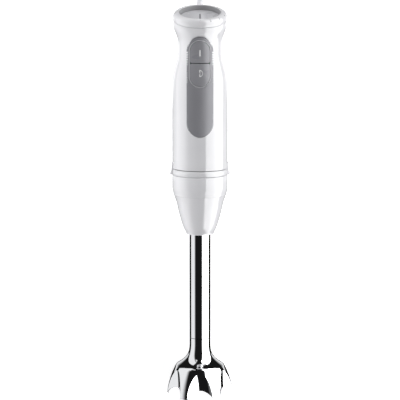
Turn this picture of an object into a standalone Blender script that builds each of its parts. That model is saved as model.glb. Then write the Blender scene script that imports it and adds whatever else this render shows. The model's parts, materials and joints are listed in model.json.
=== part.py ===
"""An immersion blender that lies on its back on a table, at its real size in metres.

Every piece of the blender is modelled about the machine's own axis: heights run up the axis from
the bell's rim, x is across, and +y is the back. The empty machine_axis then lays the machine down,
so that the bell's two rear lobes and the cord boss rest on the table. The empty table_frame stands
on the table where the strain relief ends, and carries the mains cord, its hank and its plug.
"""

import math

import bmesh
import bpy
from mathutils import Matrix, Vector

# ---- Clearances -------------------------------------------------------------------------------
GAP = 0.0003  # between neighbouring pieces
SLIDE_GAP = 0.00035  # round a button in its opening

# ---- Bell, blade and shaft --------------------------------------------------------------------
BELL_RADIUS = 0.0334
BELL_HEIGHT = 0.0575
BELL_WALL = 0.0012
BELL_LOBES = 6
BELL_DOME_TOP = 0.0298  # height of the shoulder, where the flare of the neck starts
BELL_CROWN = 0.0492  # where the dome's curve would close if it had no neck
BELL_NECK_START = 0.054  # where the neck is as narrow as the tube
BELL_ROUNDNESS = 1.467  # power of the dome's curve
BELL_FLARE = 3.9  # power of the neck's curve: it spreads late, into a nearly flat shoulder
BELL_FLARE_HEIGHTS = (0.0315, 0.0335, 0.036, 0.040)
BELL_NECK_HEIGHT = 0.046  # where the inside of the neck turns straight
SCOOP_HALF_ANGLE = math.radians(23.0)
SCOOP_TOP = 0.0295
SCOOP_DEPTH = 0.0064
SCOOP_ARCH = 0.0085  # height of the opening's arch above the rim
TUBE_RADIUS = 0.0105
TUBE_WALL = 0.001
TUBE_EXPOSED = 0.1062
TUBE_INSERT = 0.022  # length hidden in the collar
ROD_RADIUS = 0.0025
BLADE_SPAN = 0.0205
BLADE_THICKNESS = 0.0012
BLADE_HEIGHT = 0.0165
SEAL_HEIGHT = 0.0034
BUSH_HEIGHT = 0.008

# ---- Collar and the handle's lower end ------------------------------------------------------------
HANDLE_RADIUS = 0.0274  # the collar, the end ring and the release buttons follow it
COLLAR_HEIGHT = 0.0597
COLLAR_LOW_RADIUS = TUBE_RADIUS + 0.0033
COLLAR_MID_RADIUS = 0.0206
COLLAR_RADIUS = HANDLE_RADIUS + 0.0001
COLLAR_WALL = 0.0026
SPIGOT_RADIUS = HANDLE_RADIUS - 0.0058
SPIGOT_WALL = 0.0022
SPIGOT_LENGTH = 0.0127
END_RING_RADIUS = HANDLE_RADIUS + 0.0006
END_RING_HEIGHT = 0.0057
RELEASE_WIDTH = 0.0142
RELEASE_HEIGHT = 0.0116
RELEASE_PROUD = HANDLE_RADIUS + 0.0028  # distance of the button's face from the axis
RELEASE_INNER = HANDLE_RADIUS - 0.0044
RELEASE_TRAVEL = 0.002
RELEASE_CORNER = 0.003

# ---- Handle -----------------------------------------------------------------------------------
HANDLE_WALL = 0.0026
BARREL_LENGTH = 0.0857
SHOULDER_LENGTH = 0.031
WAIST_RADIUS = 0.0217
WAIST_LENGTH = 0.008
FLARE_LENGTH = 0.0226
SEAT_RADIUS = 0.0265
DIAL_TILT = math.radians(17.0)
BOSS_WIDTH = 0.017
BOSS_LENGTH = 0.018
BOSS_RAMP = 0.012  # length of the slope from the handle's back to the boss
BOSS_ROOT = 0.012  # distance from the axis where the boss starts, inside the handle's wall
BOSS_EDGE = 0.0016

# ---- Grip panel and its two buttons -----------------------------------------------------------
PANEL_WIDTH = 0.0268
PANEL_LENGTH = 0.0979
PANEL_ABOVE_WAIST = 0.0064
PANEL_THICKNESS = 0.0013
BUTTON_WIDTH = 0.0196
BUTTON_LENGTH = 0.0437
BUTTON_INSET = 0.0041  # from the panel's top to the upper button's top
BUTTON_SPLIT = 0.0213  # from the upper button's top to the line between the two
BUTTON_PROUD = 0.0006
BUTTON_DEPTH = 0.004
BUTTON_TRAVEL = 0.0016
STEM_RADIUS = 0.002

# ---- Speed dial -------------------------------------------------------------------------------
DIAL_RADIUS = 0.02685
DIAL_HEIGHT = 0.008
DIAL_MOUTH_RADIUS = 0.0199
DIAL_SKIRT_RADIUS = 0.0227
DIAL_SKIRT_DEPTH = 0.0025
DISC_LEVEL = 0.0032
DISC_THICKNESS = 0.0016
DECK_THICKNESS = 0.002
POST_RADIUS = 0.006

# ---- Motor ------------------------------------------------------------------------------------
MOTOR_SHAFT_RADIUS = 0.0025
STATOR_RADIUS = 0.020
STATOR_YOKE = 0.0028
STATOR_HEIGHT = 0.028
POLE_WIDTH = 0.0128
ARMATURE_RADIUS = 0.0112
AIR_GAP = 0.0004
COIL_THICKNESS = 0.0022
BRACKET_RADIUS = HANDLE_RADIUS - HANDLE_WALL - 0.0005
BRACKET_PLATE = 0.0024
BEARING_RADIUS = 0.0072
BEARING_HEIGHT = 0.0048
FAN_RADIUS = 0.0175
FAN_HEIGHT = 0.005
FAN_BLADES = 8
COMMUTATOR_RADIUS = 0.0065
COMMUTATOR_HEIGHT = 0.008
BOLT_RADIUS = 0.0014
DOG_RADIUS = 0.005
DOG_HEIGHT = 0.010

# ---- Switches and board -----------------------------------------------------------------------
BOARD_WIDTH = 0.020
BOARD_LENGTH = 0.048
BOARD_THICKNESS = 0.0016
BOARD_DEPTH = -0.0090
SWITCH_SIZE = (0.006, 0.0015, 0.006)

# ---- Mains cord -------------------------------------------------------------------------------
CORD_RADIUS = 0.00325
RELIEF_RADIUS = 0.0040
RELIEF_END_RADIUS = 0.0036
RELIEF_LENGTH = 0.032  # tapered length outside the boss
RELIEF_ROOT = 0.014  # length inside the boss
BOSS_WALL = 0.0014
HANK_LANE = 0.026  # radius of the outer turn's fold
HANK_RUN = 0.098  # from fold centre to fold centre
HANK_WAIST = 0.0132
HANK_HEIGHT = 0.0148
HANK_CENTRE_X = -0.020
HANK_START = 0.0343
HANK_STUB = 0.008  # where the cord enters, above the near fold's lowest point
TIE_WIDTH = 0.012
TIE_THICKNESS = 0.0012
TAIL_POINTS = (
    (0.0060, 0.0838, 0.0095),
    (0.0070, 0.0910, 0.0094),
    (0.0106, 0.0990, 0.0090),
    (0.0160, 0.1070, 0.0084),
    (0.0207, 0.1150, 0.0076),
    (0.0234, 0.1230, 0.00695),
    (0.0236, 0.1310, 0.00695),
)
PLUG_SIZE = (0.0262, 0.0355, 0.0137)
PLUG_NECK = 0.0044  # half the width of the plug where the cord enters
PIN_RADIUS = 0.002
PIN_LENGTH = 0.019
PIN_SPREAD = 0.0186  # distance between the pins' centres

FINE = 40  # steps round a large turned piece
COARSE = 24  # steps round a small one

# ---- Heights up the axis, worked out from the sizes above ---------------------------------------
TUBE_LOW = BELL_HEIGHT + GAP
COLLAR_LOW = TUBE_LOW + TUBE_EXPOSED
COLLAR_TOP = COLLAR_LOW + COLLAR_HEIGHT
TUBE_TOP = COLLAR_LOW + TUBE_INSERT
RING_LOW = COLLAR_TOP + GAP
RING_TOP = RING_LOW + END_RING_HEIGHT
HOUSING_LOW = RING_TOP + 2 * GAP
SHOULDER_LOW = HOUSING_LOW + BARREL_LENGTH
WAIST_LOW = SHOULDER_LOW + SHOULDER_LENGTH
WAIST_TOP = WAIST_LOW + WAIST_LENGTH
SEAT_TOP = WAIST_TOP + FLARE_LENGTH
DIAL_CENTRE = SEAT_TOP
SPIGOT_LOW = RING_LOW - SPIGOT_LENGTH
SPIGOT_BORE = SPIGOT_RADIUS - SPIGOT_WALL
RELEASE_LOW = RING_LOW + GAP
RELEASE_MID = RELEASE_LOW + RELEASE_HEIGHT / 2
LOWER_BRACKET = RELEASE_LOW + RELEASE_HEIGHT + 0.0011
FAN_LOW = LOWER_BRACKET + BRACKET_PLATE + BEARING_HEIGHT + 0.0028
STATOR_LOW = FAN_LOW + FAN_HEIGHT + 2 * COIL_THICKNESS + 0.0006
STATOR_TOP = STATOR_LOW + STATOR_HEIGHT
COMMUTATOR_LOW = STATOR_TOP + 2 * COIL_THICKNESS
UPPER_BRACKET = COMMUTATOR_LOW + COMMUTATOR_HEIGHT + BEARING_HEIGHT + 0.0022
PANEL_TOP = WAIST_TOP + PANEL_ABOVE_WAIST
PANEL_LOW = PANEL_TOP - PANEL_LENGTH
BUTTON_TOP = PANEL_TOP - BUTTON_INSET
BUTTON_LOW = BUTTON_TOP - BUTTON_LENGTH
SPLIT_HEIGHT = BUTTON_TOP - BUTTON_SPLIT
DOG_LOW = RING_LOW - DOG_HEIGHT - 0.001
COUPLING_RADIUS = DOG_RADIUS + 0.0036
BORE = ROD_RADIUS + GAP

# The cord's exit stands behind the turning dial, and its boss reaches the table.
DIAL_REACH = DIAL_RADIUS * math.cos(DIAL_TILT)
EXIT_DEPTH = DIAL_REACH + 2 * GAP + RELIEF_RADIUS
BOSS_DEPTH = EXIT_DEPTH + RELIEF_RADIUS + GAP + BOSS_WALL
BOSS_TOP = DIAL_CENTRE + DIAL_RADIUS * math.sin(DIAL_TILT) - 0.0015
BELL_TOUCH = BELL_RADIUS * math.cos(SCOOP_HALF_ANGLE)
REST_TILT = math.atan2(BOSS_DEPTH - BELL_TOUCH, BOSS_TOP)
RELIEF_END = BOSS_TOP + RELIEF_LENGTH

FINISHES = {
    "white_shell": ((0.86, 0.86, 0.87), 0.0, 0.18),
    "grey_rubber": ((0.20, 0.20, 0.21), 0.0, 0.45),
    "dial_grey": ((0.55, 0.55, 0.56), 0.0, 0.35),
    "chrome_steel": ((0.78, 0.78, 0.79), 1.0, 0.07),
    "tool_steel": ((0.55, 0.56, 0.58), 1.0, 0.25),
    "copper": ((0.72, 0.33, 0.17), 1.0, 0.35),
    "lamination": ((0.28, 0.29, 0.31), 1.0, 0.45),
    "black_plastic": ((0.03, 0.03, 0.03), 0.0, 0.45),
    "carbon": ((0.05, 0.05, 0.05), 0.0, 0.7),
    "brass": ((0.80, 0.62, 0.30), 1.0, 0.3),
    "board_green": ((0.04, 0.17, 0.08), 0.0, 0.5),
    "cord_white": ((0.84, 0.84, 0.85), 0.0, 0.4),
}


# ---- Making objects ---------------------------------------------------------------------------
def clear_scene():
    for item in list(bpy.data.objects):
        bpy.data.objects.remove(item, do_unlink=True)


def finish_material(name):
    """The named finish, made once."""
    found = bpy.data.materials.get(name)
    if found:
        return found
    colour, metallic, roughness = FINISHES[name]
    made = bpy.data.materials.new(name)
    made.use_nodes = True
    shader = made.node_tree.nodes["Principled BSDF"]
    shader.inputs["Base Color"].default_value = (*colour, 1.0)
    shader.inputs["Metallic"].default_value = metallic
    shader.inputs["Roughness"].default_value = roughness
    return made


def add_empty(name, location=(0, 0, 0), rotation=(0, 0, 0), parent=None):
    empty = bpy.data.objects.new(name, None)
    empty.location = location
    empty.rotation_euler = rotation
    empty.parent = parent
    bpy.context.scene.collection.objects.link(empty)
    return empty


def add_piece(name, mesh, finish, parent, smooth_angle=35.0):
    """Turns a bmesh into a named piece under its parent, with its faces turned outwards."""
    bmesh.ops.remove_doubles(mesh, verts=mesh.verts, dist=1e-6)
    bmesh.ops.recalc_face_normals(mesh, faces=mesh.faces)
    data = bpy.data.meshes.new(name)
    mesh.to_mesh(data)
    mesh.free()
    data.materials.append(finish_material(finish))
    data.shade_smooth()
    data.set_sharp_from_angle(angle=math.radians(smooth_angle))
    piece = bpy.data.objects.new(name, data)
    piece.parent = parent
    bpy.context.scene.collection.objects.link(piece)
    return piece


def as_cutter(piece):
    piece.hide_render = True
    piece.display_type = "WIRE"
    return piece


def boolean(piece, other, operation="DIFFERENCE"):
    """Adds an exact Boolean with a helper, which stays out of the model."""
    as_cutter(other)
    modifier = piece.modifiers.new(f"{operation.lower()}_{other.name}", "BOOLEAN")
    modifier.operation = operation
    modifier.solver = "EXACT"
    modifier.object = other
    return piece


def bevelled(piece, width, segments=2, angle=40.0):
    modifier = piece.modifiers.new("rounded_edges", "BEVEL")
    modifier.width = width
    modifier.segments = segments
    modifier.limit_method = "ANGLE"
    modifier.angle_limit = math.radians(angle)
    return piece


# ---- Shapes -----------------------------------------------------------------------------------
def turned(name, outline, finish, parent, steps=COARSE):
    """Spins a closed (radius, height) outline about the parent's Z axis."""
    mesh = bmesh.new()
    verts = [mesh.verts.new((radius, 0.0, height)) for radius, height in outline]
    edges = []
    for start, end in zip(verts, verts[1:] + verts[:1]):
        if start.co.x > 1e-7 or end.co.x > 1e-7:
            edges.append(mesh.edges.new((start, end)))
    turn = {"axis": (0, 0, 1), "cent": (0, 0, 0), "angle": math.tau, "steps": steps}
    bmesh.ops.spin(mesh, geom=verts + edges, use_merge=True, **turn)
    bmesh.ops.remove_doubles(mesh, verts=mesh.verts, dist=1e-6)
    bmesh.ops.dissolve_degenerate(mesh, edges=mesh.edges, dist=1e-7)
    return add_piece(name, mesh, finish, parent)


def tube(name, inner, outer, low, high, finish, parent, steps=COARSE):
    outline = ((inner, low), (outer, low), (outer, high), (inner, high))
    return turned(name, outline, finish, parent, steps)


def lofted(name, rings, finish, parent, closed=False):
    """Joins rings of equal length in order. A closed loft joins the last ring to the first."""
    mesh = bmesh.new()
    loops = [[mesh.verts.new(point) for point in ring] for ring in rings]
    count = len(loops[0])
    pairs = list(zip(loops, loops[1:]))
    if closed:
        pairs.append((loops[-1], loops[0]))
    else:
        mesh.faces.new(loops[0])
        mesh.faces.new(loops[-1])
    for below, above in pairs:
        for i in range(count):
            j = (i + 1) % count
            mesh.faces.new((below[i], below[j], above[j], above[i]))
    return add_piece(name, mesh, finish, parent)


def extruded(name, outline, start, end, axis, finish, parent):
    """Extrudes a flat outline from start to end along X, Y or Z."""
    if axis == "X":
        rings = [[Vector((reach, a, b)) for a, b in outline] for reach in (start, end)]
    elif axis == "Y":
        rings = [[Vector((a, reach, b)) for a, b in outline] for reach in (start, end)]
    else:
        rings = [[Vector((a, b, reach)) for a, b in outline] for reach in (start, end)]
    return lofted(name, rings, finish, parent)


def block(name, size, centre, finish, parent):
    half = [side / 2 for side in size]
    x, y, z = centre
    corners = ((x - half[0], z - half[2]), (x + half[0], z - half[2]))
    corners += ((x + half[0], z + half[2]), (x - half[0], z + half[2]))
    return extruded(name, corners, y - half[1], y + half[1], "Y", finish, parent)


def arc(centre, radius, start, end, steps):
    """Points of an arc, angles in degrees."""
    found = []
    for i in range(steps + 1):
        angle = math.radians(start + (end - start) * i / steps)
        found.append((centre[0] + radius * math.cos(angle), centre[1] + radius * math.sin(angle)))
    return found


def pill(width, low, high, round_low=True, round_high=True, corner=0.0012, steps=12):
    """A stadium outline. An end that isn't fully round gets small corners."""
    half = width / 2
    points = []
    if round_low:
        points += arc((0, low + half), half, 180, 360, steps)
    else:
        points += arc((-half + corner, low + corner), corner, 180, 270, 3)
        points += arc((half - corner, low + corner), corner, 270, 360, 3)
    if round_high:
        points += arc((0, high - half), half, 0, 180, steps)
    else:
        points += arc((half - corner, high - corner), corner, 0, 90, 3)
        points += arc((-half + corner, high - corner), corner, 90, 180, 3)
    return points


def ease(share):
    """Runs smoothly from 0 to 1."""
    share = min(max(share, 0.0), 1.0)
    return 0.5 - 0.5 * math.cos(math.pi * share)


# ---- The handle's outer form ------------------------------------------------------------------
def body_radius(height):
    if height < WAIST_TOP:
        share = ease((height - SHOULDER_LOW) / SHOULDER_LENGTH)
        return HANDLE_RADIUS + (WAIST_RADIUS - HANDLE_RADIUS) * share
    share = ease((height - WAIST_TOP) / (0.85 * FLARE_LENGTH))
    return WAIST_RADIUS + (SEAT_RADIUS - WAIST_RADIUS) * share


def body_ring(height, offset):
    """One ring of the handle's surface, moved in or out, leaning towards the dial's tilt."""
    radius = body_radius(height) + offset
    lean = DIAL_TILT * min(max((height - WAIST_TOP) / FLARE_LENGTH, 0.0), 1.0)
    points = []
    for i in range(FINE):
        angle = math.tau * i / FINE
        back = radius * math.sin(angle)
        x, y, rise = radius * math.cos(angle), back * math.cos(lean), back * math.sin(lean)
        points.append(Vector((x, y, height + rise)))
    return points


def body_heights(low, high):
    """Heights of the rings that the handle's curves need between two heights."""
    stations = [SHOULDER_LOW + SHOULDER_LENGTH * i / 6 for i in range(7)]
    stations += [WAIST_TOP + FLARE_LENGTH * i / 6 for i in range(6)]
    inner = [height for height in stations if low + 1e-4 < height < high - 1e-4]
    return [low] + inner + [high]


def body_skin(name, low, high, outside, inside, finish, parent):
    """A shell that follows the handle's surface between two offsets from it."""
    heights = body_heights(low, high)
    rings = [body_ring(height, outside) for height in heights]
    rings += [body_ring(height, inside) for height in reversed(heights)]
    return lofted(name, rings, finish, parent, closed=True)


# ---- Handle shells ------------------------------------------------------------------------------
def table_depth(height):
    """Depth of the table behind the axis at a height up the axis."""
    return BELL_TOUCH + (BOSS_DEPTH - BELL_TOUCH) * height / BOSS_TOP


def cord_boss(parent):
    """The housing's rear boss: its back is flat and lies on the table."""
    low = BOSS_TOP - BOSS_LENGTH
    outline = (
        (BOSS_ROOT, low - BOSS_RAMP),
        (body_radius(low) - 0.001, low - BOSS_RAMP),
        (table_depth(low), low),
        (table_depth(BOSS_TOP), BOSS_TOP),
        (DIAL_SKIRT_RADIUS - 0.0002, BOSS_TOP),
        (BOSS_ROOT, BOSS_TOP - 0.010),
    )
    boss = extruded("boss_guide", outline, -BOSS_WIDTH / 2, BOSS_WIDTH / 2, "X", "white_shell", parent)
    return bevelled(boss, BOSS_EDGE, segments=2)


def build_housing(parent):
    housing = lofted(
        "housing",
        [body_ring(height, 0.0) for height in body_heights(HOUSING_LOW, SEAT_TOP)],
        "white_shell",
        parent,
    )
    boolean(housing, cord_boss(parent), "UNION")
    heights = body_heights(HOUSING_LOW - 0.002, SEAT_TOP)
    hollow = [body_ring(height, -HANDLE_WALL) for height in heights]
    hollow.append([point + Vector((0, 0, 0.004)) for point in hollow[-1]])
    boolean(housing, lofted("hollow_cutter", hollow, "white_shell", parent))
    boolean(housing, panel_recess(parent))
    boolean(housing, button_opening("housing_button_cutter", parent))
    bore_low = BOSS_TOP - RELIEF_ROOT
    bore = tube_cutter("relief_bore_cutter", RELIEF_RADIUS + GAP, bore_low, BOSS_TOP + 0.01, parent)
    bore.location = (0, EXIT_DEPTH, 0)
    boolean(housing, bore)
    passage = block(
        "lead_passage_cutter",
        (0.006, EXIT_DEPTH - 0.012, 0.006),
        (0, (EXIT_DEPTH + 0.012) / 2, bore_low + 0.0025),
        "white_shell",
        parent,
    )
    boolean(housing, passage)
    for side in (-1, 1):
        boolean(housing, release_pocket("housing_release_cutter", side, parent))
    return housing


def tube_cutter(name, radius, low, high, parent):
    return turned(name, ((0, high), (radius, high), (radius, low), (0, low)), "white_shell", parent, COARSE)


def panel_recess(parent):
    """Cutter of the recess that the grip panel lies in."""
    depth = PANEL_THICKNESS + GAP
    low, high = PANEL_LOW - 0.004, SEAT_TOP - 0.006
    skin = body_skin("recess_skin", low, high, 0.003, -depth, "white_shell", parent)
    outline = pill(PANEL_WIDTH, PANEL_LOW, PANEL_TOP)
    prism = extruded("recess_prism", outline, -0.040, -0.006, "Y", "white_shell", parent)
    return boolean(skin, prism, "INTERSECT")


def button_opening(name, parent):
    outline = pill(BUTTON_WIDTH + 2 * SLIDE_GAP, BUTTON_LOW - SLIDE_GAP, BUTTON_TOP + SLIDE_GAP)
    return extruded(name, outline, -0.040, -0.010, "Y", "white_shell", parent)


def build_panel(parent):
    panel = body_skin(
        "grip_panel", PANEL_LOW - 0.003, SEAT_TOP - 0.007, 0.0, -PANEL_THICKNESS, "grey_rubber", parent
    )
    outline = pill(PANEL_WIDTH - 2 * GAP, PANEL_LOW + GAP, PANEL_TOP - GAP)
    boolean(panel, extruded("panel_prism", outline, -0.040, -0.007, "Y", "grey_rubber", parent), "INTERSECT")
    return boolean(panel, button_opening("panel_button_cutter", parent))


def build_button(name, low, high, round_low, round_high, parent):
    """A button cap that follows the panel's surface, with the stem that works its switch."""
    joint = add_empty(f"{name}_slide", (0, -WAIST_RADIUS, (low + high) / 2), parent=parent)
    back = -joint.location
    inside = BUTTON_PROUD - BUTTON_DEPTH
    bottom, top = BUTTON_LOW - 0.004, BUTTON_TOP + 0.008
    cap = body_skin(name, bottom, top, BUTTON_PROUD, inside, "grey_rubber", joint)
    outline = pill(BUTTON_WIDTH, low, high, round_low, round_high)
    prism = extruded(f"{name}_prism", outline, -0.040, -0.008, "Y", "grey_rubber", joint)
    stem_reach = body_radius((low + high) / 2) + BUTTON_PROUD - BUTTON_DEPTH / 2
    stem_outline = arc((0, (low + high) / 2), STEM_RADIUS, 0, 345, 11)
    stem = extruded(f"{name}_stem", stem_outline, -stem_reach, stem_end(), "Y", "grey_rubber", joint)
    boolean(cap, prism, "INTERSECT")
    boolean(cap, stem, "UNION")
    for piece in (cap, prism, stem):
        piece.location = back
    return cap


def stem_end():
    """Depth of a button stem's tip: clear of its switch by the button's travel."""
    return BOARD_DEPTH - BOARD_THICKNESS / 2 - 2 * GAP - SWITCH_SIZE[1] - BUTTON_TRAVEL - GAP


# ---- Release buttons and end ring -----------------------------------------------------------------
def release_outline(margin):
    width, height = RELEASE_WIDTH + 2 * margin, RELEASE_HEIGHT + 2 * margin
    low = RELEASE_LOW - margin
    return pill(width, low, low + height, False, False, corner=RELEASE_CORNER)


def release_pocket(name, side, parent):
    inner, outer = RELEASE_INNER - RELEASE_TRAVEL - GAP, 0.036
    name = f"{name}_{side}"
    return extruded(name, release_outline(GAP), side * inner, side * outer, "X", "white_shell", parent)


def build_release_button(name, side, parent):
    joint = add_empty(f"{name}_slide", (side * RELEASE_INNER, 0, RELEASE_MID), parent=parent)
    button = extruded(
        name, release_outline(0.0), side * RELEASE_INNER, side * RELEASE_PROUD, "X", "white_shell", joint
    )
    button.location = -joint.location
    return bevelled(button, 0.0012, segments=2, angle=60)


def build_end_ring(parent):
    """The band under the housing, with the spigot that seats in the shaft's collar."""
    groove = SPIGOT_RADIUS - 0.001
    outline = [
        (MOTOR_SHAFT_RADIUS + 0.0007, RING_TOP),
        (END_RING_RADIUS - 0.0008, RING_TOP),
        (END_RING_RADIUS - 0.0002, RING_TOP - 0.0009),
        (END_RING_RADIUS, (RING_TOP + RING_LOW) / 2),
        (END_RING_RADIUS - 0.0002, RING_LOW + 0.0009),
        (END_RING_RADIUS - 0.0008, RING_LOW),
        (SPIGOT_RADIUS, RING_LOW),
        (SPIGOT_RADIUS, SPIGOT_LOW + 0.0047),
        (groove, SPIGOT_LOW + 0.0047),
        (groove, SPIGOT_LOW + 0.0025),
        (SPIGOT_RADIUS, SPIGOT_LOW + 0.0025),
        (SPIGOT_RADIUS, SPIGOT_LOW),
        (SPIGOT_BORE, SPIGOT_LOW),
        (SPIGOT_BORE, RING_LOW + 0.002),
        (MOTOR_SHAFT_RADIUS + 0.0007, RING_LOW + 0.002),
    ]
    ring = turned("handle_end_ring", outline, "white_shell", parent, FINE)
    for side in (-1, 1):
        boolean(ring, release_pocket("ring_release_cutter", side, parent))
    low = SPIGOT_LOW + 0.0025 + GAP
    outer = SPIGOT_RADIUS + 0.0002
    tube("spigot_seal", groove + GAP, outer, low, low + 0.0016, "black_plastic", parent, FINE)
    return ring


def build_release_spring(parent):
    """A bent steel strip behind both release buttons, open at the front."""
    radius, thickness = RELEASE_INNER - RELEASE_TRAVEL - 0.003, 0.0006
    outer = arc((0, 0), radius, -60, 240, 24)
    inner = arc((0, 0), radius - thickness, 240, -60, 24)
    low = RING_TOP + 0.0013
    return extruded("release_spring", outer + inner, low, low + 0.004, "Z", "tool_steel", parent)


# ---- Speed dial -------------------------------------------------------------------------------
def build_dial(parent):
    """The turning ring on the tilted seat, and the fixed disc, deck and sensor inside it."""
    axis = add_empty("dial_axis", (0, 0, DIAL_CENTRE), (DIAL_TILT, 0, 0), parent)
    flange = DIAL_MOUTH_RADIUS - 0.0037
    shoulder = DIAL_HEIGHT * 0.3
    outline = [
        (flange, -DIAL_SKIRT_DEPTH),
        (DIAL_SKIRT_RADIUS, -DIAL_SKIRT_DEPTH),
        (DIAL_SKIRT_RADIUS, GAP),
        (DIAL_RADIUS - 0.0007, GAP),
        (DIAL_RADIUS, GAP + 0.0006),
    ]
    reach = DIAL_RADIUS - DIAL_MOUTH_RADIUS - 0.001
    for i in range(7):
        angle = math.radians(90 * i / 6)
        radius = DIAL_MOUTH_RADIUS + 0.001 + reach * math.cos(angle)
        outline.append((radius, shoulder + (DIAL_HEIGHT - shoulder) * math.sin(angle)))
    outline += [
        (DIAL_MOUTH_RADIUS, DIAL_HEIGHT - 0.0006),
        (DIAL_MOUTH_RADIUS, -0.0008),
        (flange, -0.0008),
    ]
    turned("dial_ring", outline, "white_shell", axis, FINE)
    deck_top = -DIAL_SKIRT_DEPTH - 0.0005
    disc_radius = DIAL_MOUTH_RADIUS - SLIDE_GAP
    disc_low = DISC_LEVEL - DISC_THICKNESS
    disc = (
        (0, DISC_LEVEL),
        (disc_radius, DISC_LEVEL),
        (disc_radius, disc_low),
        (POST_RADIUS, disc_low),
        (POST_RADIUS, deck_top + GAP),
        (0, deck_top + GAP),
    )
    turned("dial_disc", disc, "dial_grey", axis, FINE)
    deck_radius = DIAL_SKIRT_RADIUS
    deck = ((0, deck_top), (deck_radius, deck_top), (deck_radius, deck_top - DECK_THICKNESS))
    turned("dial_deck", deck + ((0, deck_top - DECK_THICKNESS),), "black_plastic", axis, FINE)
    inner, outer = POST_RADIUS + 0.002, flange - GAP - 0.0004
    tube("speed_sensor", inner, outer, deck_top + GAP, disc_low - 0.0006, "board_green", axis)


# ---- Switches ---------------------------------------------------------------------------------
def build_board(parent):
    middle = (BUTTON_LOW + BUTTON_TOP) / 2
    size = (BOARD_WIDTH, BOARD_THICKNESS, BOARD_LENGTH)
    block("control_board", size, (0, BOARD_DEPTH, middle), "board_green", parent)
    depth = BOARD_DEPTH - BOARD_THICKNESS / 2 - GAP - SWITCH_SIZE[1] / 2
    for name, low, high in (
        ("on_switch", SPLIT_HEIGHT, BUTTON_TOP),
        ("turbo_switch", BUTTON_LOW, SPLIT_HEIGHT),
    ):
        block(name, SWITCH_SIZE, (0, depth, (low + high) / 2), "black_plastic", parent)


# ---- Motor ------------------------------------------------------------------------------------
def build_stator(parent):
    """Laminated ring with two poles, and a coil round each pole."""
    yoke = STATOR_RADIUS - STATOR_YOKE
    bore = ARMATURE_RADIUS + AIR_GAP
    half = POLE_WIDTH / 2
    pole_angle = math.degrees(math.asin(half / yoke))
    bore_angle = math.degrees(math.asin(half / bore))
    inner = arc((0, 0), yoke, pole_angle, 180 - pole_angle, 12)
    inner += arc((0, 0), bore, 180 - bore_angle, 180 + bore_angle, 6)
    inner += arc((0, 0), yoke, 180 + pole_angle, 360 - pole_angle, 12)
    inner += arc((0, 0), bore, 360 - bore_angle, 360 + bore_angle, 6)
    disc = arc((0, 0), STATOR_RADIUS, 0, 351, 39)
    stator = extruded("stator", disc, STATOR_LOW, STATOR_TOP, "Z", "lamination", parent)
    low, high = STATOR_LOW - 0.001, STATOR_TOP + 0.001
    window = extruded("stator_window", inner, low, high, "Z", "lamination", parent)
    boolean(stator, window)
    for name, side in (("field_coil_left", -1), ("field_coil_right", 1)):
        build_coil(name, side, half, bore, parent)
    return stator


def build_coil(name, side, half, bore, parent):
    inner_y = half + 0.0004
    outer_y = inner_y + COIL_THICKNESS
    inner_z = STATOR_HEIGHT / 2 + 0.0004
    outer_z = inner_z + COIL_THICKNESS
    middle = (STATOR_LOW + STATOR_TOP) / 2
    near = bore + GAP
    far = math.sqrt((STATOR_RADIUS - STATOR_YOKE) ** 2 - outer_y**2) - GAP
    rings = []
    stations = ((near, outer_y, outer_z), (far, outer_y, outer_z), (far, inner_y, inner_z))
    for reach, y, z in stations + ((near, inner_y, inner_z),):
        corners = ((-y, middle - z), (y, middle - z), (y, middle + z), (-y, middle + z))
        rings.append([Vector((side * reach, a, b)) for a, b in corners])
    return lofted(name, rings, "copper", parent, closed=True)


def build_brackets(parent):
    cup = BEARING_RADIUS + GAP
    shaft = MOTOR_SHAFT_RADIUS + 0.0007
    low, top = LOWER_BRACKET, UPPER_BRACKET
    lower = (
        (shaft, low),
        (BRACKET_RADIUS, low),
        (BRACKET_RADIUS, low + BRACKET_PLATE),
        (cup + 0.002, low + BRACKET_PLATE),
        (cup + 0.002, low + BRACKET_PLATE + BEARING_HEIGHT),
        (cup, low + BRACKET_PLATE + BEARING_HEIGHT),
        (cup, low + BRACKET_PLATE),
        (shaft, low + BRACKET_PLATE),
    )
    upper = [(radius, low + top + BRACKET_PLATE - height) for radius, height in lower]
    for name, outline in (("lower_bracket", lower), ("upper_bracket", upper)):
        bracket = turned(name, outline, "black_plastic", parent)
        for place, side in (("front", -1), ("back", 1)):
            hole = f"{name}_{place}_hole"
            cutter = tube_cutter(hole, BOLT_RADIUS + GAP, low - 0.001, top + 0.004, parent)
            cutter.location = (0, side * bolt_circle(), 0)
            boolean(bracket, cutter)
    for name, base in (
        ("lower_bearing", low + BRACKET_PLATE + GAP),
        ("upper_bearing", top - GAP - BEARING_HEIGHT),
    ):
        tube(name, BORE, BEARING_RADIUS, base, base + BEARING_HEIGHT - GAP, "tool_steel", parent)
    for name, side in (("motor_bolt_front", -1), ("motor_bolt_back", 1)):
        bolt = tube_cutter(name, BOLT_RADIUS, low - 0.0004, top + BRACKET_PLATE + 0.001, parent)
        bolt.data.materials[0] = finish_material("tool_steel")
        bolt.location = (0, side * bolt_circle(), 0)


def bolt_circle():
    return STATOR_RADIUS + BOLT_RADIUS + 2 * GAP


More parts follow.
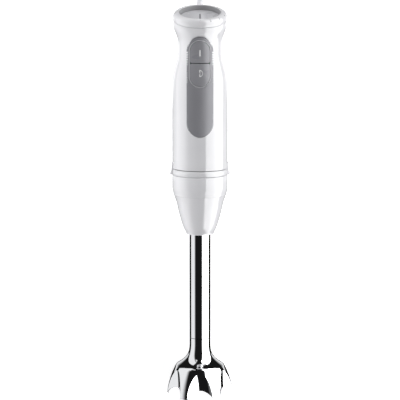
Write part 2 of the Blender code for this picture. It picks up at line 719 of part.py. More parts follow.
def build_rotor(parent):
    """Everything on the motor's shaft: it turns together."""
    core = ARMATURE_RADIUS
    wind = core - 0.0017
    low, top = STATOR_LOW + 0.0005, STATOR_TOP - 0.0005
    outline = (
        (BORE, low - 0.0028),
        (wind - 0.001, low - 0.0028),
        (wind, low - 0.0018),
        (wind, low),
        (core, low),
        (core, top),
        (wind, top),
        (wind, top + 0.0018),
        (wind - 0.001, top + 0.0028),
        (BORE, top + 0.0028),
    )
    turned("armature", outline, "copper", parent)
    top = COMMUTATOR_LOW + COMMUTATOR_HEIGHT
    tube("commutator", BORE, COMMUTATOR_RADIUS, COMMUTATOR_LOW, top, "copper", parent)
    shaft_top = UPPER_BRACKET - 2 * GAP
    shaft = tube_cutter("motor_shaft", MOTOR_SHAFT_RADIUS, DOG_LOW + 0.002, shaft_top, parent)
    shaft.data.materials[0] = finish_material("tool_steel")
    fan = extruded("cooling_fan", fan_outline(), FAN_LOW, FAN_LOW + FAN_HEIGHT, "Z", "black_plastic", parent)
    boolean(fan, tube_cutter("fan_bore_cutter", BORE, FAN_LOW - 0.001, FAN_LOW + FAN_HEIGHT + 0.001, parent))
    hexagon = arc((0, 0), DOG_RADIUS, 0, 300, 5)
    dog = extruded("drive_dog", hexagon, DOG_LOW, DOG_LOW + DOG_HEIGHT, "Z", "black_plastic", parent)
    boolean(dog, tube_cutter("dog_bore_cutter", BORE, DOG_LOW + 0.0017, DOG_LOW + DOG_HEIGHT + 0.001, parent))


def fan_outline():
    """A hub with straight blades."""
    hub, half = 0.006, 0.0005
    points = []
    for i in range(FAN_BLADES):
        turn = Matrix.Rotation(math.tau * i / FAN_BLADES, 2)
        for radius, side in ((hub, -half), (FAN_RADIUS, -half), (FAN_RADIUS, half), (hub, half)):
            points.append(tuple(turn @ Vector((radius, side))))
    return points


def build_brushes(parent):
    middle = COMMUTATOR_LOW + COMMUTATOR_HEIGHT / 2
    for name, side in (("left", -1), ("right", 1)):
        start, end = COMMUTATOR_RADIUS + 0.0018, STATOR_RADIUS
        rings = []
        for reach, half in ((start, 0.0036), (end, 0.0036), (end, 0.0026), (start, 0.0026)):
            corners = ((-half, -half), (half, -half), (half, half), (-half, half))
            rings.append([Vector((side * reach, a, middle + b)) for a, b in corners])
        lofted(f"brush_holder_{name}", rings, "brass", parent, closed=True)
        brush_start = COMMUTATOR_RADIUS + GAP
        centre = (side * (brush_start + 0.0045), 0, middle)
        block(f"carbon_brush_{name}", (0.009, 0.0046, 0.0046), centre, "carbon", parent)


# ---- Shaft assembly ---------------------------------------------------------------------------
def build_collar(parent):
    """The white cone, with the socket for the handle's spigot and the bore for the tube."""
    low, top, wall = COLLAR_LOW, COLLAR_TOP, COLLAR_WALL
    step = top - 0.0202
    socket = SPIGOT_RADIUS + GAP + 0.0002
    floor = low + 0.014
    outer = [
        (COLLAR_LOW_RADIUS - 0.0012, low),
        (COLLAR_LOW_RADIUS, low + 0.0006),
        (COLLAR_LOW_RADIUS + 0.0032, low + 0.008),
        (COLLAR_MID_RADIUS, low + 0.020),
        (COLLAR_MID_RADIUS + 0.0028, low + 0.032),
        (COLLAR_RADIUS - 0.0016, step),
        (COLLAR_RADIUS - 0.0006, step + 0.003),
        (COLLAR_RADIUS, step + 0.007),
        (COLLAR_RADIUS, top - 0.0006),
        (COLLAR_RADIUS - 0.0006, top),
    ]
    inner = [
        (socket, top),
        (socket, SPIGOT_LOW - GAP),
        (COLLAR_MID_RADIUS + 0.0028 - wall - 0.001, low + 0.032),
        (COLLAR_MID_RADIUS - wall - 0.001, low + 0.020),
        (COLLAR_LOW_RADIUS + 0.002, floor),
        (TUBE_RADIUS + GAP, floor),
        (TUBE_RADIUS + GAP, low),
    ]
    return turned("shaft_collar", outer + inner, "white_shell", parent, FINE)


def build_tube(parent):
    inner = TUBE_RADIUS - TUBE_WALL
    tube("shaft_tube", inner, TUBE_RADIUS, TUBE_LOW, TUBE_TOP, "chrome_steel", parent, FINE)
    upper = TUBE_TOP - BUSH_HEIGHT
    tube("upper_bush", BORE, inner - GAP, upper, TUBE_TOP - GAP, "black_plastic", parent)
    lower = BELL_HEIGHT - BUSH_HEIGHT
    neck = TUBE_RADIUS - BELL_WALL - GAP
    tube("lower_bush", BORE, neck, lower, BELL_HEIGHT - GAP, "black_plastic", parent)
    seal_top = lower - GAP
    tube("shaft_seal", BORE, neck - 0.0006, seal_top - SEAL_HEIGHT, seal_top, "black_plastic", parent)


def dome_radius(height):
    """The bell's outer radius, lobes aside: a dome with a shoulder, and a neck that flares down to it."""
    if height <= BELL_DOME_TOP:
        return BELL_RADIUS * math.sqrt(1.0 - (height / BELL_CROWN) ** BELL_ROUNDNESS)
    share = min((height - BELL_DOME_TOP) / (BELL_NECK_START - BELL_DOME_TOP), 1.0)
    return TUBE_RADIUS + (dome_radius(BELL_DOME_TOP) - TUBE_RADIUS) * (1.0 - share) ** BELL_FLARE


def scoop_share(angle):
    """1 at the middle of a scoop, 0 at its edges and on the lobes."""
    pitch = math.tau / BELL_LOBES
    offset = (angle + pitch / 2) % pitch - pitch / 2
    return max(0.0, 1.0 - (offset / SCOOP_HALF_ANGLE) ** 2)


def bell_angles():
    """Angles round the bell, with one on every edge of a scoop."""
    pitch = math.tau / BELL_LOBES
    shares = (-1.0, -0.78, -0.4, 0.0, 0.4, 0.78, 1.0)
    angles = []
    for lobe in range(BELL_LOBES):
        middle = lobe * pitch
        angles += [middle + share * SCOOP_HALF_ANGLE for share in shares]
        angles.append(middle + pitch / 2)
    return angles


def bell_ring(level, inset, angles):
    """One ring of the bell. Level 0 is the scalloped lower edge and 1 the dome's top."""
    points = []
    for angle in angles:
        scoop = scoop_share(angle)
        edge = SCOOP_ARCH * math.sqrt(scoop)
        height = edge + (BELL_DOME_TOP - edge) * level
        depth = SCOOP_DEPTH * scoop * max(0.0, 1.0 - (height - SCOOP_ARCH) / (SCOOP_TOP - SCOOP_ARCH)) ** 0.5
        depth = min(depth, SCOOP_DEPTH)
        radius = dome_radius(height) - depth - inset
        height -= inset * level
        points.append(Vector((radius * math.sin(angle), -radius * math.cos(angle), height)))
    return points


def neck_ring(height, radius, angles):
    return [Vector((radius * math.sin(angle), -radius * math.cos(angle), height)) for angle in angles]


def inner_flare_ring(height, angles):
    """The flare's inner ring below a height: square to the wall by its thickness."""
    step = 1e-4
    slope = (dome_radius(height - step) - dome_radius(height + step)) / (2 * step)
    across = BELL_WALL / math.hypot(1.0, slope)
    return neck_ring(height - across * slope, dome_radius(height) - across, angles)


def build_bell(parent):
    """Pressed and drawn in one piece: neck, dome and six lobes with a scoop between each two."""
    angles = bell_angles()
    levels = (0.0, 0.15, 0.32, 0.5, 0.66, 0.76, 0.86, 1.0)
    rings = [bell_ring(level, 0.0, angles) for level in levels]
    rings += [neck_ring(height, dome_radius(height), angles) for height in BELL_FLARE_HEIGHTS]
    rings += [neck_ring(height, dome_radius(height), angles) for height in (BELL_NECK_HEIGHT, BELL_HEIGHT)]
    inner_neck = TUBE_RADIUS - BELL_WALL
    rings += [neck_ring(height, inner_neck, angles) for height in (BELL_HEIGHT, BELL_NECK_HEIGHT)]
    rings += [inner_flare_ring(height, angles) for height in reversed(BELL_FLARE_HEIGHTS)]
    rings += [bell_ring(level, BELL_WALL, angles) for level in reversed(levels)]
    return lofted("bell", rings, "chrome_steel", parent, closed=True)


def build_drive_line(parent):
    """The rod in the shaft with its coupling, blade and nut: it turns together."""
    hub_low, hub_top = BLADE_HEIGHT - 0.0035, BLADE_HEIGHT + 0.0035
    coupling_top = DOG_LOW + DOG_HEIGHT - 0.0005
    floor = DOG_LOW - 0.0015
    rod_top = floor - 0.0015
    rod_low = hub_low - 0.003
    rod = tube_cutter("drive_rod", ROD_RADIUS, rod_low, rod_top, parent)
    rod.data.materials[0] = finish_material("tool_steel")
    outline = arc((0, 0), COUPLING_RADIUS, 0, 345, 23)
    low = rod_top - 0.008
    coupling = extruded("drive_coupling", outline, low, coupling_top, "Z", "black_plastic", parent)
    hexagon = arc((0, 0), DOG_RADIUS + GAP, 0, 300, 5)
    socket_top = coupling_top + 0.001
    boolean(coupling, extruded("coupling_socket", hexagon, floor, socket_top, "Z", "black_plastic", parent))
    boolean(coupling, tube_cutter("coupling_bore", BORE, low - 0.001, rod_top + GAP, parent))
    blade_low = BLADE_HEIGHT - BLADE_THICKNESS / 2
    blade_top = blade_low + BLADE_THICKNESS
    tube("blade_hub", BORE, 0.0055, blade_top + GAP, hub_top + 0.004, "tool_steel", parent)
    blade = extruded("blade", blade_outline(), blade_low, blade_top, "Z", "tool_steel", parent)
    boolean(blade, tube_cutter("blade_bore", BORE, blade_low - 0.001, hub_top, parent))
    tube("blade_nut", BORE, 0.0045, hub_low, blade_low - GAP, "tool_steel", parent, 12)


def blade_outline():
    """Two swept wings about a round eye."""
    points = []
    for turn in (0, 180):
        points += arc((0, 0), 0.0052, turn - 60, turn - 30, 2)
        tip = Matrix.Rotation(math.radians(turn), 2)
        for x, y in ((BLADE_SPAN, -0.0024), (BLADE_SPAN, 0.0014), (0.013, 0.0034)):
            points.append(tuple(tip @ Vector((x, y))))
        points += arc((0, 0), 0.0052, turn + 50, turn + 80, 2)
    return points


# ---- Mains cord -------------------------------------------------------------------------------
def build_relief(parent):
    root = BOSS_TOP - RELIEF_ROOT + 2 * GAP
    outline = (
        (0, RELIEF_END),
        (RELIEF_END_RADIUS, RELIEF_END),
        (RELIEF_RADIUS, BOSS_TOP + 0.004),
        (RELIEF_RADIUS, root),
        (0, root),
    )
    relief = turned("strain_relief", outline, "cord_white", parent)
    relief.location = (0, EXIT_DEPTH, 0)


def smooth_path(points, spacing):
    """Points at an even spacing along a smooth curve through the given points."""
    places = [Vector(point) for point in points]
    places = [2 * places[0] - places[1]] + places + [2 * places[-1] - places[-2]]
    fine = []
    for a, b, c, d in zip(places, places[1:], places[2:], places[3:]):
        for i in range(12):
            t = i / 12
            square = (2 * a - 5 * b + 4 * c - d) * t**2
            cube = (3 * b - a - 3 * c + d) * t**3
            fine.append(0.5 * (2 * b + (c - a) * t + square + cube))
    fine.append(places[-2])
    length = sum((end - start).length for start, end in zip(fine, fine[1:]))
    count = max(2, round(length / spacing))
    found, walked, target = [fine[0]], 0.0, length / count
    for start, end in zip(fine, fine[1:]):
        step = (end - start).length
        while walked + step >= target - 1e-9 and len(found) < count:
            found.append(start.lerp(end, (target - walked) / step))
            target += length / count
        walked += step
    found.append(fine[-1])
    return found


def cord_tube(name, points, parent):
    curve = bpy.data.curves.new(name, "CURVE")
    curve.dimensions = "3D"
    curve.bevel_depth = CORD_RADIUS
    curve.bevel_resolution = 2
    curve.use_fill_caps = True
    path = smooth_path(points, 4.6 * CORD_RADIUS)
    spline = curve.splines.new("POLY")
    spline.points.add(len(path) - 1)
    for point, place in zip(spline.points, path):
        point.co = (*place, 1.0)
    curve.materials.append(finish_material("cord_white"))
    cord = bpy.data.objects.new(name, curve)
    cord.parent = parent
    bpy.context.scene.collection.objects.link(cord)
    return cord


def hank_half_width(along):
    """Half the hank's width at a distance from its near end: round ends and a tied waist."""
    reach = HANK_LANE + CORD_RADIUS
    if along < reach:
        return math.sqrt(max(0.0, reach**2 - (reach - along) ** 2))
    if along > reach + HANK_RUN:
        return math.sqrt(max(0.0, reach**2 - (along - reach - HANK_RUN) ** 2))
    return reach - (reach - HANK_WAIST) * math.sin(math.pi * (along - reach) / HANK_RUN) ** 2


def hank_outline():
    reach = HANK_LANE + CORD_RADIUS
    ends = [reach * (1 - math.cos(math.radians(15 * i))) for i in range(6)]
    stations = ends + [reach + HANK_RUN * i / 12 for i in range(13)]
    stations += [2 * reach + HANK_RUN - along for along in reversed(ends)]
    right = [(HANK_CENTRE_X + hank_half_width(along), HANK_START + along) for along in stations]
    left = [(2 * HANK_CENTRE_X - x, y) for x, y in right[-2:0:-1]]
    return right + left


def build_hank(parent):
    low, top = 0.0001, HANK_HEIGHT
    hank = extruded("cord_hank", hank_outline(), low, top, "Z", "cord_white", parent)
    lane = HANK_CENTRE_X + HANK_LANE
    reach = HANK_LANE + CORD_RADIUS
    stub_size = (2 * CORD_RADIUS, reach - HANK_STUB, 2 * CORD_RADIUS + 0.001)
    stub_centre = (lane - 0.00002, HANK_START + HANK_STUB + stub_size[1] / 2, low + stub_size[2] / 2)
    boolean(hank, block("hank_stub", stub_size, stub_centre, "cord_white", parent), "UNION")
    middle = HANK_START + reach + HANK_RUN / 2
    slot_depth = TIE_THICKNESS + 2 * GAP
    slot = (0.08, TIE_WIDTH + 4 * GAP, 2 * slot_depth)
    boolean(hank, block("tie_slot_cutter", slot, (HANK_CENTRE_X, middle, low), "cord_white", parent))
    half = hank_half_width(reach + HANK_RUN / 2 - TIE_WIDTH / 2 - GAP) + GAP
    rings = []
    for margin, along in ((TIE_THICKNESS, -1), (TIE_THICKNESS, 1), (0, 1), (0, -1)):
        y = middle + along * TIE_WIDTH / 2
        bottom, roof = low + TIE_THICKNESS - margin, top + GAP + margin
        corner = GAP + margin
        outline = rounded_rectangle(HANK_CENTRE_X, half + margin, bottom, roof, corner)
        rings.append([Vector((x, y, z)) for x, z in outline])
    lofted("hank_tie", rings, "black_plastic", parent, closed=True)


def rounded_rectangle(centre, half, low, high, corner):
    points = arc((centre + half - corner, low + corner), corner, -90, 0, 4)
    points += arc((centre + half - corner, high - corner), corner, 0, 90, 4)
    points += arc((centre - half + corner, high - corner), corner, 90, 180, 4)
    points += arc((centre - half + corner, low + corner), corner, 180, 270, 4)
    return points


def build_plug(parent):
    """A flat two-pin mains plug that lies beside the hank."""
    x, y, z = TAIL_POINTS[-1]
    rings = []
    width, length, thick = PLUG_SIZE
    for along, across, tall in (
        (0.0, PLUG_NECK, PLUG_NECK),
        (0.35, 1.4 * PLUG_NECK, 1.2 * PLUG_NECK),
        (0.6, width / 2, thick / 2),
        (1.0, width / 2, thick / 2),
    ):
        outline = rounded_rectangle(0, across, -tall, tall, 0.6 * tall)
        rings.append([Vector((x + a, y + 2 * GAP + along * length, z + b)) for a, b in outline])
    lofted("plug_body", rings, "cord_white", parent)
    for name, side in (("plug_pin_left", -1), ("plug_pin_right", 1)):
        start = y + 2 * GAP + length + GAP
        outline = arc((x + side * PIN_SPREAD / 2, z), PIN_RADIUS, 0, 330, 11)
        extruded(name, outline, start, start + PIN_LENGTH, "Y", "brass", parent)


def build_cord(machine):
    """The cord leaves the relief, runs to the hank, and ends in the plug beside it."""
    build_relief(machine)
    bpy.context.view_layer.update()
    end = machine.matrix_world @ Vector((0, EXIT_DEPTH, RELIEF_END))
    table = add_empty("table_frame", (0, end.y, 0))
    lane = HANK_CENTRE_X + HANK_LANE
    rest = CORD_RADIUS + 0.0001
    stop = HANK_START + HANK_STUB - 2 * GAP
    cord_points = (
        (0.0, 2 * GAP, end.z),
        (0.0, 0.007, end.z - 0.0001),
        (0.0005, 0.014, rest + 0.55 * (end.z - rest)),
        (0.0021, 0.021, rest + 0.15 * (end.z - rest)),
        (0.0041, 0.028, rest),
        (lane - 0.0002, 0.035, rest),
        (lane, stop, rest),
    )
    cord_tube("power_cord", cord_points, table)
    build_hank(table)
    cord_tube("cord_tail", TAIL_POINTS, table)
    build_plug(table)


# ---- Laying the machine down ------------------------------------------------------------------
def lay_down():
    """The machine's axis, laid back until the bell's rear lobes and the boss touch the table."""
    shoulder = 0.3 * DIAL_HEIGHT
    reach = DIAL_RADIUS - DIAL_MOUTH_RADIUS - 0.001
    across, along = math.sin(DIAL_TILT), math.cos(DIAL_TILT)
    top = DIAL_CENTRE + (DIAL_MOUTH_RADIUS + 0.001) * across + shoulder * along
    top += math.hypot(reach * across, (DIAL_HEIGHT - shoulder) * along)
    middle = (top - BELL_TOUCH * math.sin(REST_TILT)) / 2
    height = BELL_TOUCH * math.cos(REST_TILT)
    return add_empty("machine_axis", (0, -middle, height), (REST_TILT - math.pi / 2, 0, 0))


def main():
    clear_scene()
    machine = lay_down()
    rotor = add_empty("rotor_axis", parent=machine)
    shaft = add_empty("shaft_slide", parent=machine)
    drive = add_empty("drive_axis", parent=shaft)

    build_housing(machine)
    build_panel(machine)
    build_button("on_button", SPLIT_HEIGHT + SLIDE_GAP, BUTTON_TOP, False, True, machine)
    build_button("turbo_button", BUTTON_LOW, SPLIT_HEIGHT - SLIDE_GAP, True, False, machine)
    build_dial(machine)
    build_board(machine)
    build_end_ring(machine)
    build_release_button("release_button_left", -1, machine)
    build_release_button("release_button_right", 1, machine)
    build_release_spring(machine)
    build_stator(machine)
    build_brackets(machine)
    build_brushes(machine)
    build_rotor(rotor)

    build_collar(shaft)
    build_tube(shaft)
    build_bell(shaft)
    build_drive_line(drive)
    build_cord(machine)


main()
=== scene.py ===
"""Finished look of a white immersion blender that lies on its back, its spare cord tied in a hank.

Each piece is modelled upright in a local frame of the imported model, with Z along the piece's own axis
and the buttons towards -Y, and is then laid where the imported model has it. Lengths are in metres.
"""

import json
import logging
import math
from collections.abc import Callable, Sequence
from dataclasses import dataclass
from enum import Enum

import bmesh
import bpy
from mathutils import Matrix, Vector

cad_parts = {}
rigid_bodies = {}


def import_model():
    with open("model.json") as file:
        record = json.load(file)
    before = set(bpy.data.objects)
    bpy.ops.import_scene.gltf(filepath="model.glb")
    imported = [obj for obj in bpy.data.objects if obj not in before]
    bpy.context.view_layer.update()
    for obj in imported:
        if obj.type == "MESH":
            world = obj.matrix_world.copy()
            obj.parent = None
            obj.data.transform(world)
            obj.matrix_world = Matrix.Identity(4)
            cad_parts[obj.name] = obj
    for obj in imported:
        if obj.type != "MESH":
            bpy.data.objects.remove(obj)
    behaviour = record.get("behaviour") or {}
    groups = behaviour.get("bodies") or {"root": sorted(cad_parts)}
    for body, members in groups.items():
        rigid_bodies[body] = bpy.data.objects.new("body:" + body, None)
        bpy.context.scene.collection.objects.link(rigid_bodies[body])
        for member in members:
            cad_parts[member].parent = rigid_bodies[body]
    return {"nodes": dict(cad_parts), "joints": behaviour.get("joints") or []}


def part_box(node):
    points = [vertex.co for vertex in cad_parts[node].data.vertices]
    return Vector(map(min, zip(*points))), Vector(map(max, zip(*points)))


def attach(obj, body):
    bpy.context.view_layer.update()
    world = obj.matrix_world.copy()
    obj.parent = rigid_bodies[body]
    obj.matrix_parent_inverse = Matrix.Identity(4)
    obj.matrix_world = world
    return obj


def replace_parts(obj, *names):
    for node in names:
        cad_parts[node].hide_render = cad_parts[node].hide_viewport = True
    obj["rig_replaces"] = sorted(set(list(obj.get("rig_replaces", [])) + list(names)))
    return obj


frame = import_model()

LOG = logging.getLogger("immersion_blender")
MM = 0.001
CLEARANCE = 0.0003  # between neighbouring pieces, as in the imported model

Piece = bpy.types.Object
Outline = list[tuple[float, float]]


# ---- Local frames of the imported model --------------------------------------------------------
@dataclass(frozen=True)
class LocalFrame:
    """A frame whose Z runs along a joint's axis and whose X is the model's own X."""

    origin: Vector
    up: Vector

    @property
    def matrix(self) -> Matrix:
        """Turns local places into the model's."""
        across = Vector((1, 0, 0))
        turn = Matrix((across, self.up.cross(across), self.up)).transposed().to_4x4()
        return Matrix.Translation(self.origin) @ turn

    def local_points(self, node: str) -> list[Vector]:
        """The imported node's points in this frame."""
        back = self.matrix.inverted()
        return [back @ vertex.co for vertex in frame["nodes"][node].data.vertices]

    def span(self, node: str) -> tuple[float, float]:
        """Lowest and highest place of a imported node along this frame's Z."""
        heights = [point.z for point in self.local_points(node)]
        return min(heights), max(heights)

    def top_centre(self, node: str) -> Vector:
        """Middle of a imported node's upper end face."""
        points = self.local_points(node)
        top = max(point.z for point in points)
        end = [point for point in points if point.z > top - 0.1 * MM]
        low = Vector((min(p.x for p in end), min(p.y for p in end), top))
        high = Vector((max(p.x for p in end), max(p.y for p in end), top))
        return (low + high) / 2

    @classmethod
    def of_joint(cls, name: str) -> "LocalFrame":
        """The frame that a joint's place and axis give.

        Args:
            name: the joint's name in the record.

        Returns:
            A frame at the joint's place, with Z along its axis.
        """
        joint = next(joint for joint in frame["joints"] if joint["name"] == name)
        return cls(Vector(joint["pos_m"]), Vector(joint["axis"]).normalized())

    @classmethod
    def of_machine(cls) -> "LocalFrame":
        """The motor's axis, with its origin in the plane of the bell's rim."""
        motor = cls.of_joint("motor_spin")
        return cls(motor.origin + motor.up * motor.span("bell")[0], motor.up)


MACHINE = LocalFrame.of_machine()
DIAL = LocalFrame.of_joint("dial_turn")
WORLD = LocalFrame(Vector((0, 0, 0)), Vector((0, 0, 1)))


# ---- Modelling -------------------------------------------------------------------------------
def select_only(piece: Piece) -> None:
    """Makes one piece the only selected and active one."""
    bpy.ops.object.select_all(action="DESELECT")
    piece.select_set(True)
    bpy.context.view_layer.objects.active = piece


def edit(piece: Piece, mode: str = "VERT") -> None:
    """Opens a piece in edit mode with nothing selected."""
    select_only(piece)
    bpy.ops.object.mode_set(mode="EDIT")
    bpy.ops.mesh.select_mode(type=mode)
    bpy.ops.mesh.select_all(action="DESELECT")


def close() -> None:
    """Leaves edit mode."""
    bpy.ops.object.mode_set(mode="OBJECT")


def apply_modifier(piece: Piece, kind: str, **settings: object) -> None:
    """Adds a modifier with its settings and applies it.

    Args:
        piece: the piece to shape.
        kind: the modifier's type, such as BEVEL.
        settings: the modifier's own settings.
    """
    modifier = piece.modifiers.new(kind.lower(), kind)
    for name, value in settings.items():
        setattr(modifier, name, value)
    select_only(piece)
    bpy.ops.object.modifier_apply(modifier=modifier.name)


def round_edges(piece: Piece, width: float, segments: int = 3, angle: float = 50.0) -> None:
    """Rounds every edge sharper than an angle in degrees."""
    limit = math.radians(angle)
    apply_modifier(
        piece, "BEVEL", width=width, segments=segments, limit_method="ANGLE", angle_limit=limit
    )


def cut(piece: Piece, cutter: Piece, operation: str = "DIFFERENCE") -> None:
    """Combines a piece with a second one, which is used up."""
    apply_modifier(piece, "BOOLEAN", operation=operation, solver="EXACT", object=cutter)
    bpy.data.objects.remove(cutter)


def turn_outwards(piece: Piece) -> None:
    """Turns a closed piece's faces outwards."""
    edit(piece)
    bpy.ops.mesh.select_all(action="SELECT")
    bpy.ops.mesh.normals_make_consistent(inside=False)
    shape = bmesh.from_edit_mesh(piece.data)
    if shape.calc_volume(signed=True) < 0:
        bpy.ops.mesh.flip_normals()
    close()


def turned(name: str, outline: Sequence[tuple[float, float]], steps: int = 128) -> Piece:
    """Draws a closed outline by extruding one point along it, and spins it about Z.

    Args:
        name: the piece's name.
        outline: (radius, height) points of the cross-section.
        steps: how many faces go round.

    Returns:
        The closed solid.
    """
    radius, height = outline[0]
    bpy.ops.object.select_all(action="DESELECT")
    bpy.ops.mesh.primitive_plane_add(size=0.1 * MM, location=(radius, 0, height))
    piece = bpy.context.object
    piece.name = name
    bpy.ops.object.transform_apply(location=True, rotation=False, scale=False)
    edit(piece)
    bpy.ops.mesh.select_all(action="SELECT")
    bpy.ops.mesh.merge(type="CENTER")
    corners = [*outline, outline[0]]
    for (r0, z0), (r1, z1) in zip(corners, corners[1:]):
        bpy.ops.mesh.extrude_region_move(TRANSFORM_OT_translate={"value": (r1 - r0, 0, z1 - z0)})
    close()
    for vertex in piece.data.vertices:  # many small steps add up to a rounding error
        x, _, z = vertex.co
        radius, height = min(outline, key=lambda corner: abs(corner[0] - x) + abs(corner[1] - z))
        vertex.co = (radius, 0, height)
    edit(piece)
    bpy.ops.mesh.select_all(action="SELECT")
    bpy.ops.mesh.remove_doubles(threshold=1e-6)
    bpy.ops.mesh.spin(steps=steps, angle=math.tau, center=(0, 0, 0), axis=(0, 0, 1))
    bpy.ops.mesh.select_all(action="SELECT")
    bpy.ops.mesh.remove_doubles(threshold=1e-6)
    close()
    turn_outwards(piece)
    return piece


def net(name: str, columns: int, rows: int, place: Callable[[int, int], Vector]) -> Piece:
    """Extrudes a circle inwards ring by ring, and sets every point of the net at its place.

    Args:
        name: the piece's name.
        columns: points in each ring.
        rows: rings in the net, the first one outermost.
        place: gives the place of a point from its column and row.

    Returns:
        The open net, its points merged where they meet.
    """
    bpy.ops.object.select_all(action="DESELECT")
    bpy.ops.mesh.primitive_circle_add(vertices=columns, radius=1, fill_type="NOTHING")
    piece = bpy.context.object
    piece.name = name
    bpy.ops.object.mode_set(mode="EDIT")
    bpy.ops.mesh.select_all(action="SELECT")
    for row in range(1, rows):
        factor = (rows - row) / (rows - row + 1)
        bpy.ops.mesh.extrude_region_move()
        bpy.ops.transform.resize(value=(factor, factor, factor), center_override=(0, 0, 0))
    close()
    for vertex in piece.data.vertices:
        angle = math.atan2(vertex.co.y, vertex.co.x)
        column = round(angle * columns / math.tau) % columns
        row = round((1 - vertex.co.length) * rows)
        vertex.co = place(column, row)
    return piece


def lofted(name: str, rings: Sequence[Sequence[Vector]]) -> Piece:
    """A closed solid through rings of points, its two ends filled.

    Args:
        name: the piece's name.
        rings: as many points in each, in the same order.

    Returns:
        The solid.
    """
    piece = net(name, len(rings[0]), len(rings), lambda column, row: rings[row][column])
    edit(piece)
    bpy.ops.mesh.select_all(action="SELECT")
    bpy.ops.mesh.remove_doubles(threshold=1e-6)
    bpy.ops.mesh.fill_holes(sides=0)
    close()
    turn_outwards(piece)
    return piece


def prism(name: str, corners: Sequence[Vector], along: Vector) -> Piece:
    """Extrudes a flat outline.

    Args:
        name: the piece's name.
        corners: the outline's points.
        along: how far the outline is carried.

    Returns:
        The solid.
    """
    bpy.ops.object.select_all(action="DESELECT")
    bpy.ops.mesh.primitive_circle_add(vertices=len(corners), radius=1, fill_type="NGON")
    piece = bpy.context.object
    piece.name = name
    for vertex, corner in zip(piece.data.vertices, corners):
        vertex.co = corner
    bpy.ops.object.mode_set(mode="EDIT")
    bpy.ops.mesh.select_all(action="SELECT")
    bpy.ops.mesh.extrude_region_move(TRANSFORM_OT_translate={"value": tuple(along)})
    close()
    turn_outwards(piece)
    return piece


def tidy_net(piece: Piece, outwards: Vector) -> None:
    """Merges a net's meeting points and turns its faces to one side.

    Args:
        piece: the net.
        outwards: the way that its faces look on the whole.
    """
    edit(piece)
    bpy.ops.mesh.select_all(action="SELECT")
    bpy.ops.mesh.remove_doubles(threshold=2e-6)
    bpy.ops.mesh.dissolve_degenerate(threshold=1e-7)
    bpy.ops.mesh.normals_make_consistent(inside=False)
    close()
    total = sum((face.normal * face.area for face in piece.data.polygons), Vector())
    if total.dot(outwards) < 0:
        edit(piece)
        bpy.ops.mesh.select_all(action="SELECT")
        bpy.ops.mesh.flip_normals()
        close()


def join(pieces: Sequence[Piece]) -> Piece:
    """Makes one piece of several, named as the first."""
    select_only(pieces[0])
    for piece in pieces:
        piece.select_set(True)
    bpy.ops.object.join()
    return pieces[0]


def arc(centre: tuple[float, float], radius: float, start: float, end: float, steps: int) -> Outline:
    """Points of an arc, its angles in degrees."""
    found = []
    for i in range(steps + 1):
        angle = math.radians(start + (end - start) * i / steps)
        found.append((centre[0] + radius * math.cos(angle), centre[1] + radius * math.sin(angle)))
    return found


def ease(share: float) -> float:
    """Runs smoothly from 0 to 1."""
    share = min(max(share, 0.0), 1.0)
    return 0.5 - 0.5 * math.cos(math.pi * share)


def clamp(value: float, low: float, high: float) -> float:
    """The value, kept between two limits."""
    return min(max(value, low), high)


def stadium(width: float, low: float, high: float, steps: int = 24, side: int = 32) -> Outline:
    """An upright outline with two round ends, from its lower left anticlockwise.

    Args:
        width: across its straight sides.
        low: its lower end.
        high: its upper end.
        steps: segments in each round end.
        side: segments in each straight side.

    Returns:
        Its (x, height) points.
    """
    half = width / 2
    rise = (high - low - width) / side
    right = [(half, low + half + rise * i) for i in range(1, side)]
    left = [(-half, high - half - rise * i) for i in range(1, side)]
    bottom = arc((0, low + half), half, 180, 360, steps)
    top = arc((0, high - half), half, 0, 180, steps)
    return bottom + right + top + left


def tombstone(width: float, low: float, high: float, corner: float, round_top: bool) -> Outline:
    """An upright outline with one round end and one nearly square one."""
    half, steps = width / 2, 24
    flat = low if round_top else high
    inner = flat + corner if round_top else flat - corner
    if round_top:
        square = arc((-half + corner, inner), corner, 180, 270, 6)
        square += [(-half + corner + (width - 2 * corner) * i / 14, low) for i in range(1, 14)]
        square += arc((half - corner, inner), corner, 270, 360, 6)
        return square + arc((0, high - half), half, 0, 180, steps)
    square = arc((half - corner, inner), corner, 0, 90, 6)
    square += [(half - corner - (width - 2 * corner) * i / 14, high) for i in range(1, 14)]
    square += arc((-half + corner, inner), corner, 90, 180, 6)
    return arc((0, low + half), half, 180, 360, steps) + square


def spine_of(outline: Outline, width: float, low: float, high: float) -> Outline:
    """For each outline point, the nearest point of the outline's middle line."""
    half = width / 2
    return [(0.0, clamp(z, low + half, high - half)) for _, z in outline]


def wrapped(
    name: str,
    outer: Outline,
    inner: Outline,
    rings: int,
    surface: Callable[[float, float], Vector],
    depth: float,
    edge: float,
) -> Piece:
    """A plate or band that follows a curved surface, with rounded edges.

    Args:
        name: the piece's name.
        outer: its rim, as (x, height) points.
        inner: as many points of its inner rim, or of its middle line.
        rings: rows of points between the two.
        surface: gives the place on the surface of an (x, height) pair.
        depth: how thick it is, inwards from the surface.
        edge: the radius of its rim, 0 for none.

    Returns:
        The closed solid.
    """

    def place(column: int, row: int) -> Vector:
        share = row / (rings - 1)
        (x0, z0), (x1, z1) = outer[column], inner[column]
        return surface(x0 + (x1 - x0) * share, z0 + (z1 - z0) * share)

    piece = net(name, len(outer), rings, place)
    tidy_net(piece, Vector((0, -1, 0)))
    apply_modifier(piece, "SOLIDIFY", thickness=depth, offset=-1, use_even_offset=True)
    turn_outwards(piece)
    if edge:
        round_edges(piece, edge)
    return piece


